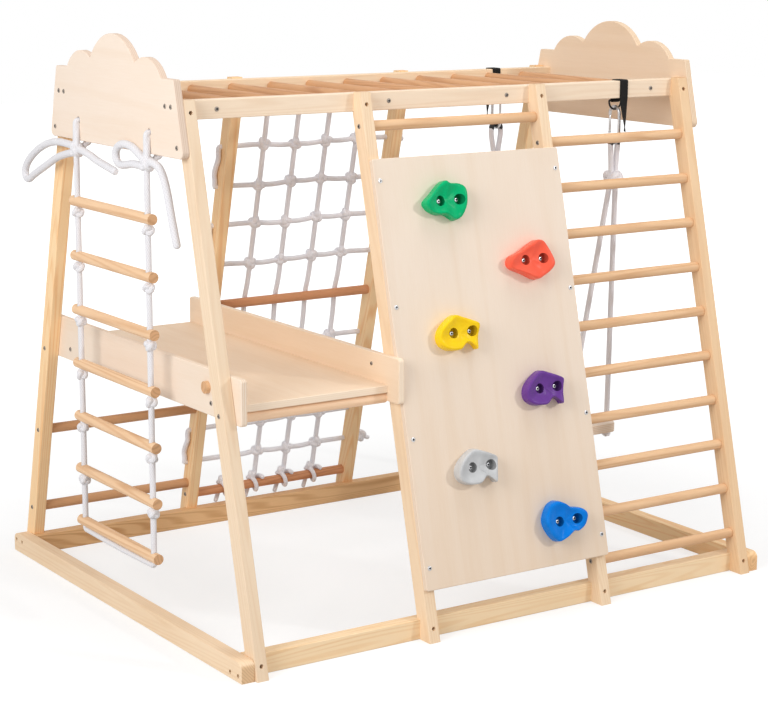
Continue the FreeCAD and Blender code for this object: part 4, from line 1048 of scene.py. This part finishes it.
def dress_ladder_rope():
    """One rope down, under the lowest rung and up again, with a knot under each of the other rungs."""
    form = bmesh.new()
    low = ROPE_RUNG_LOW - RUNG_RADIUS - CLEAR - ROPE_RADIUS
    half = [(ROPE_Y, z) for z in (TIE_KNOT_Z - LADDER_TOP_DROP, *LADDER_STRAIGHT_ZS, low + LADDER_TURN, low)]
    half.append((ROPE_Y - LADDER_TURN, low))
    route = [(-y, z) for y, z in half] + [(0, low - LADDER_SAG)] + half[::-1]
    sweep(form, spline_points([Vector((LADDER_X, y, z)) for y, z in route], LADDER_STEPS), ROPE_RADIUS)
    drop = RUNG_RADIUS + LADDER_KNOT_DROP
    for y in (-ROPE_Y, ROPE_Y):
        for index in range(1, ROPE_RUNG_COUNT):
            centre = Vector((LADDER_X, y, ROPE_RUNG_LOW + index * ROPE_RUNG_PITCH - drop))
            axis = Vector((LADDER_KNOT_LEAN * math.cos(index), LADDER_KNOT_LEAN * math.sin(index), 1))
            add_knot(form, centre, axis, LADDER_KNOT, LADDER_KNOT_SPIN * index)
    finish_piece("ladder_ropes", form, rope_white, "ladder_rope")


def dress_tie(end, y):
    """The loop of rope through the end board, and the round knot under the board."""
    form = bmesh.new()
    under = BOARD_LOW - CLEAR - ROPE_RADIUS
    route = [Vector((x, y, z)) for x, z in (
        (LADDER_X, TIE_KNOT_Z), (LADDER_X, TIE_HOLE_Z - TIE_SHOULDER), (LADDER_X, TIE_HOLE_Z - TIE_TURN_Z),
        (LADDER_X + TIE_TURN_X, TIE_HOLE_Z), (TIE_INNER_X - TIE_TURN_X, TIE_HOLE_Z),
        (TIE_INNER_X, TIE_HOLE_Z - TIE_TURN_Z), (TIE_INNER_X, TIE_HOLE_Z - TIE_SHOULDER),
        (TIE_INNER_X, under + TIE_UNDER_TURN), (TIE_INNER_X, under), (TIE_INNER_X - TIE_UNDER_TURN, under),
        (LADDER_X + TIE_END, TIE_KNOT_Z))]
    sweep(form, spline_points(route), ROPE_RADIUS)
    for aside in (-TIE_FAN, TIE_FAN):
        route = [Vector((LADDER_X + x, y + share * aside, TIE_HOLE_Z + z)) for x, share, z in TIE_FAN_ROUTE]
        sweep(form, spline_points(route + [Vector((LADDER_X, y + aside, TIE_KNOT_Z))]), ROPE_RADIUS)
    add_knot(form, Vector((LADDER_X, y, TIE_KNOT_Z)), RIGHT, TIE_KNOT, TIE_KNOT_SPIN)
    finish_piece(f"{end}_tie_rope", form, rope_white, f"{end}_ladder_tie")


def dress_bow(name, length, far_end, route):
    """A loose end of rope beside the rope ladder."""
    points = spline_points([Vector((LADDER_X, y, z)) for y, z in route], BOW_STEPS)
    form = bmesh.new()
    sweep(form, points, SLACK_RADIUS)
    piece = finish_piece(name, form, rope_white, name.split("_")[0] + "_bow")


dress_ladder_rope()
dress_tie("left", ROPE_Y)
dress_tie("right", -ROPE_Y)
for name, settings in BOWS.items():
    dress_bow(name, *settings)


# Swing

def ribbon(form, line, directions, width, thick):
    """Add a flat band along a line: its width lies along the given direction at each point."""
    layer = form.loops.layers.uv.verify()
    lengths = lengths_along(line)
    rings = []
    for point, wide, before, after in zip(line, directions, line[:1] + line[:-1], line[1:] + line[-1:]):
        flat = wide.cross((after - before).normalized()).normalized()
        rings.append([form.verts.new(point + wide * (width / 2 * a) + flat * (thick / 2 * b))
                      for a, b in BAND_SHARES])
    for face, row, side in skin(form, rings)[0]:
        beside = (side + 1) % len(BAND_SHARES)
        corners = ((row, side), (row, beside), (row + 1, beside), (row + 1, side))
        for loop, (step, place) in zip(face.loops, corners):
            loop[layer].uv = (lengths[step], (BAND_SHARES[place][0] + 1) / 2)


def arc_points(centre, first, second, radius, start, end, steps):
    """Points of an arc in the plane of two directions, between two angles in degrees."""
    points = []
    for step in range(steps + 1):
        angle = math.radians(start + (end - start) * step / steps)
        points.append(centre + first * (radius * math.cos(angle)) + second * (radius * math.sin(angle)))
    return points


def dress_strap(side, sign):
    """Webbing sewn round the ring's bar, over the rail and down to its loose tail."""
    form = bmesh.new()
    half = STRAP_THICK / 2
    inner, outer = RAIL_IN - CLEAR - half, RAIL_REACH + CLEAR + half
    crown = RAIL_TOP + CLEAR + half
    loop = arc_points(Vector((0, RING_Y, RING_Z)), Vector((0, -1, 0)), UP, RING_WIRE + CLEAR + half,
                      *STRAP_LOOP_ANGLES, STRAP_LOOP_STEPS)
    band = [(point.y, point.z) for point in loop] + [(inner, RING_Z + STRAP_RISE)]
    bends = [(STRAP_BEND * across, STRAP_BEND * down) for across, down in STRAP_BEND_SHARES]
    band += [(inner + across, crown - down) for across, down in bends]
    band += [(outer - across, crown - down) for across, down in bends[::-1]]
    line = [Vector((SWING_X, sign * y, z)) for y, z in band + [(outer, RAIL_LOW)]]
    directions = [RIGHT] * len(line)
    for step in range(1, STRAP_TAIL_STEPS + 1):
        share = step / STRAP_TAIL_STEPS
        drift = STRAP_DRIFT * smooth_step(share)
        line.append(Vector((SWING_X, sign * (outer + drift), RAIL_LOW - STRAP_TAIL * share)))
        directions.append(Vector((math.cos(STRAP_TWIST * share), math.sin(STRAP_TWIST * share), 0)))
    ribbon(form, line, directions, STRAP_WIDTH, STRAP_THICK)
    bmesh.ops.recalc_face_normals(form, faces=form.faces)
    finish_piece(f"{side}_webbing", form, black_webbing, f"{side}_swing_strap")


def hanging(sign, z, aside=0.0):
    """A point in the middle plane of the front or back hanger."""
    return Vector((SWING_X + aside, sign * RING_Y, z))


def dress_ring(side, sign):
    """A black D-ring: a straight bar in the strap and a round bow below it."""
    form = bmesh.new()
    reach, level = RING_HALF - RING_CORNER, RING_Z - RING_CORNER
    line = arc_points(hanging(sign, RING_Z - RING_SIDE), RIGHT, UP, RING_HALF, 0, -180, RING_STEPS)
    line += arc_points(hanging(sign, level, -reach), RIGHT, UP, RING_CORNER, 180, 90, CORNER_STEPS)
    line += [hanging(sign, RING_Z, RING_HALF * share) for share in RING_BAR_SHARES]
    line += arc_points(hanging(sign, level, reach), RIGHT, UP, RING_CORNER, 90, 0, CORNER_STEPS)
    sweep(form, line, RING_WIRE, sides=WIRE_SIDES, closed=True)
    finish_piece(f"{side}_d_ring", form, black_steel, f"{side}_ring")


def dress_carabiner(side, sign):
    """A steel spring hook: one bent bar, with a gate on a pin between its two stubs."""
    form = bmesh.new()
    aside = Vector((0, sign, 0))
    high, low = hanging(sign, HOOK_HIGH), hanging(sign, HOOK_LOW)
    line = [high - aside * HOOK_HALF - UP * GATE_STUB]
    line += arc_points(high, aside, UP, HOOK_HALF, 180, 0, HOOK_STEPS)
    line += [high + aside * HOOK_HALF + (low - high) * share for share in HOOK_SIDE_SHARES]
    line += arc_points(low, aside, UP, HOOK_HALF, 0, -180, HOOK_STEPS)
    line += [low - aside * HOOK_HALF + UP * GATE_STUB]
    sweep(form, line, HOOK_WIRE, sides=WIRE_SIDES, round_ends=False)
    finish_piece(f"{side}_hook", form, steel, f"{side}_carabiner")

    form = bmesh.new()
    foot = hanging(sign, GATE_LOW) - aside * HOOK_HALF
    bar = [tuple(share * GATE_WIRE for share in GATE_FOOT_SHARES) + (0,)]
    bar += [(rise * (GATE_HIGH - GATE_LOW), wide * GATE_WIRE, 0) for rise, wide in GATE_BAR_SHARES]
    revolve(form, foot, UP, bar)
    pin = [(along * GATE_WIRE, wide * GATE_WIRE, 0) for along, wide in PIN_SHARES]
    revolve(form, foot - RIGHT * (PIN_HALF_SHARE * GATE_WIRE), RIGHT, pin)
    finish_piece(f"{side}_gate_bar", form, steel, f"{side}_gate")


def dress_swing_rope(side, sign, bulge):
    """An eye round the carabiner, a large knot and two strands down through the seat to their own knots."""
    form = bmesh.new()
    node = f"{side}_swing_rope"
    eye, knot = hanging(sign, HOOK_END), hanging(sign, SWING_KNOT_Z)
    bend = RIGHT * (1 + EYE_SPREAD_SHARE * bulge)
    leg = [(knot.lerp(eye, rise), RIGHT * (EYE_HALF * (wide + more * bulge)))
           for wide, more, rise in EYE_LEG_SHARES]
    line = [middle - aside for middle, aside in leg]
    line += arc_points(eye, bend, UP, EYE_HALF, 180, 0, EYE_STEPS)
    line += [middle + aside for middle, aside in leg[::-1]]
    sweep(form, line, ROPE_RADIUS)
    for drop, axis, size, spin in SWING_KNOTS:
        add_knot(form, knot - UP * drop, axis, size, spin)
    for hand in (-1, 1):
        leaving = knot + RIGHT * (hand * STRAND_SPREAD)
        turn = Vector((SWING_X + hand * SEAT_HOLE_X, sign * SEAT_HOLE_Y, SEAT_TOP + STRAND_TURN))
        under = Vector((turn.x, turn.y, SEAT_TOP - SEAT_THICK - CLEAR - SEAT_KNOT_DROP))
        strand = [leaving.lerp(turn, share) for share in STRAND_SHARES]
        route = [leaving, *strand, turn, (turn + under) / 2, under]
        sweep(form, spline_points(route, STRAND_STEPS), ROPE_RADIUS)
        add_knot(form, under, UP, SEAT_KNOT, SEAT_KNOT_SPIN * hand)
    finish_piece(f"{side}_rope", form, rope_painted_light, node)

    form = bmesh.new()
    sleeve = arc_points(eye, bend, UP, EYE_HALF, *SLEEVE_ANGLES, SLEEVE_STEPS)
    sweep(form, sleeve, ROPE_RADIUS + SLEEVE_RISE, round_ends=False)
    finish_piece(f"{side}_eye_sleeve", form, black_sleeve_and_socket_shade, node)


for side, sign in SIDES.items():
    dress_strap(side, sign)
    dress_ring(side, sign)
    dress_carabiner(side, sign)
    dress_swing_rope(side, sign, EYE_BULGE_SHARES[side])

# Wood: how close and how clear the growth lines are, and what each piece is made of

PLAIN = {"bands": 34.0, "band_share": 0.32}
STRIPED = {"bands": 46.0, "band_share": 0.80}
ROUND = {"bands": 26.0, "band_share": 0.62}
VENEER = {"bands": 6.0, "band_share": 0.24}
PLY_SHEET = 0.0045
# How much darker the climbing wall's ply is painted near the floor: painted shade
LOW_PAINTED_SHADES = {"climbing_wall": 0.5}
WOODS = []
# Pine pieces: the back legs and the back, front and right base rails take the copies with painted light and
# painted shade set out with the colours above
for place, tones in (("left", PALE_PINE), ("mid_left", PINE), ("mid_right", PINE), ("right", WARM_PINE)):
    WOODS.append((f"front_leg_{place}", tones, "front_lean", PLAIN))
    WOODS.append((f"back_leg_{place}", GOLDEN_PINE_PAINTED_BOUNCE, "back_lean", STRIPED))
WOODS += [
    ("front_top_rail", FAIR_PINE, "x", PLAIN), ("back_top_rail", PINE, "x", PLAIN),
    ("front_base_rail", BRIGHT_PINE_PAINTED_LIGHT, "x", STRIPED), ("back_base_rail", DEEP_PINE_PAINTED_SHADE, "x", STRIPED),
    ("left_base_rail", PINE, "y", PLAIN), ("right_base_rail", GOLDEN_PINE_PAINTED_BOUNCE, "y", STRIPED),
]
# Ply pieces, each with the tones of its cut edges: the left end board's edges carry painted shade, the deck's
# and right deck board's painted light
for name, tones, edge_tones, grain, layer_axis in (
        ("left_end_board", FAIR_PLY_PAINTED_LIGHT, SHADED_EDGE, "y", 0), ("right_end_board", WARM_PLY, WARM_PLY, "y", 0),
        ("left_deck_board", PLY, PLY, "y", 0), ("right_deck_board", WARM_PLY, PAINTED_LIGHT_EDGE, "y", 0),
        ("deck", WARM_PLY, PAINTED_LIGHT_EDGE, "y", 2), ("swing_seat", PLY, PLY, "y", 2),
        ("climbing_wall", PLY, PLY, "front_lean", 1)):
    layers = (layer_axis, PLY_SHEET, edge_tones)
    WOODS.append((name, tones, grain, {**VENEER, "layers": layers, "low_painted_shade": LOW_PAINTED_SHADES.get(name, 0.0)}))
WOODS += [
    ("ladder_rungs", BEECH, "x", ROUND), ("front_cross_rung", BEECH, "x", ROUND),
    ("front_deck_dowel", FAIR_BEECH, "x", ROUND), ("back_deck_dowel", BEECH, "x", ROUND),
    ("deck_peg", BEECH, "x", ROUND), ("back_low_rung", DARK_BEECH, "x", ROUND),
    ("back_high_rung", DARK_BEECH, "x", ROUND), ("net_low_rung", RED_BEECH, "x", ROUND),
    ("net_high_rung", RED_BEECH, "x", ROUND), ("monkey_bars", DARK_BEECH, "y", ROUND),
    ("rope_ladder_rungs", PALE_BEECH, "y", ROUND),
]
for seed, (name, tones, grain, options) in enumerate(WOODS):
    mesh = nodes[name].data
    mesh.materials.clear()
    mesh.materials.append(wood(f"{name}_wood", *tones, grain, seed, **options))
    mesh.shade_smooth()
    mesh.set_sharp_from_angle(angle=SHARP_ANGLE)

# Floor, light and camera

FLOOR_HALF = 14.0
FLOOR_SHADE = 0.42
FLOOR_BOUNCE = 0.62
NEAR_GLOW = 0.62
NEAR_REACH = 1.0
FAR_REACH = 3.4
ROOM_LIGHT = 0.50

# Lamps: place, target, size and watts
LAMPS = {
    "key": ((2.6, -4.3, 2.9), (0, 0, 0.6), 0.5, 66),
    "left_fill": ((-4.2, -1.6, 2.6), (0, 0, 0.6), 2.8, 116),
    "top": ((0.3, -0.6, 4.6), (0, 0, 0.5), 2.2, 40),
}


def seen_directly(look):
    """1 for rays from the camera, off gloss and through glass, and 0 for the rays that light the object."""
    seen = look.make("LightPath", {}, "Is Camera Ray")
    for ray in ("Is Glossy Ray", "Is Transmission Ray"):
        seen = look.maths("MAXIMUM", seen, look.make("LightPath", {}, ray))
    return seen


def floor():
    """A white floor: it takes the object's shadow, and further out it runs into the white room."""
    mesh = bpy.data.meshes.new("floor")
    corners = [(FLOOR_HALF * a, FLOOR_HALF * b, 0) for a, b in ((-1, -1), (1, -1), (1, 1), (-1, 1))]
    mesh.from_pydata(corners, [], [(0, 1, 2, 3)])
    piece = placed("floor", mesh)
    shader = surface("floor")
    seen = seen_directly(shader)
    away = shader.make("VectorMath", {0: shader.place()}, "Value", operation="LENGTH")
    glow = shader.ramp(away, NEAR_REACH, FAR_REACH, NEAR_GLOW, 1.0)
    shade = shader.ramp(seen, 0.0, 1.0, FLOOR_BOUNCE, FLOOR_SHADE)
    shader.set(Base_Color=shade, Roughness=0.9, Specular_IOR_Level=0.0, Emission_Color=(1, 1, 1, 1),
               Emission_Strength=shader.maths("MULTIPLY", seen, glow))
    mesh.materials.append(shader.owner)


def area_light(name, place, target, size, watts):
    """A round soft lamp that points at a target."""
    data = bpy.data.lights.new(name, "AREA")
    data.shape = "DISK"
    data.size = size
    data.energy = watts
    lamp = placed(name, data)
    lamp.location = place
    lamp.rotation_euler = (Vector(target) - Vector(place)).to_track_quat("-Z", "Y").to_euler()


def surroundings():
    """A soft white room that the camera, gloss and glass see as white."""
    world = bpy.data.worlds.new("room")
    bpy.context.scene.world = world
    look = Nodes(world, "Background")
    look.set(Color=(1, 1, 1, 1), Strength=look.ramp(seen_directly(look), 0.0, 1.0, ROOM_LIGHT))


def camera():
    """The photograph's camera."""
    data = bpy.data.cameras.new("camera")
    data.sensor_fit = "HORIZONTAL"
    data.sensor_width = SENSOR_WIDTH
    data.lens = FOCAL_PIXELS / PHOTO_WIDTH * SENSOR_WIDTH
    piece = placed("camera", data)
    turn = Matrix.Rotation(CAMERA_YAW, 4, "Z") @ Matrix.Rotation(math.pi / 2 + CAMERA_PITCH, 4, "X")
    piece.matrix_world = Matrix.Translation(CAMERA_PLACE) @ turn @ Matrix.Rotation(CAMERA_ROLL, 4, "Z")
    bpy.context.scene.camera = piece


floor()
surroundings()
for name, settings in LAMPS.items():
    area_light(name, *settings)
camera()
bpy.context.scene.view_settings.view_transform = "Standard"
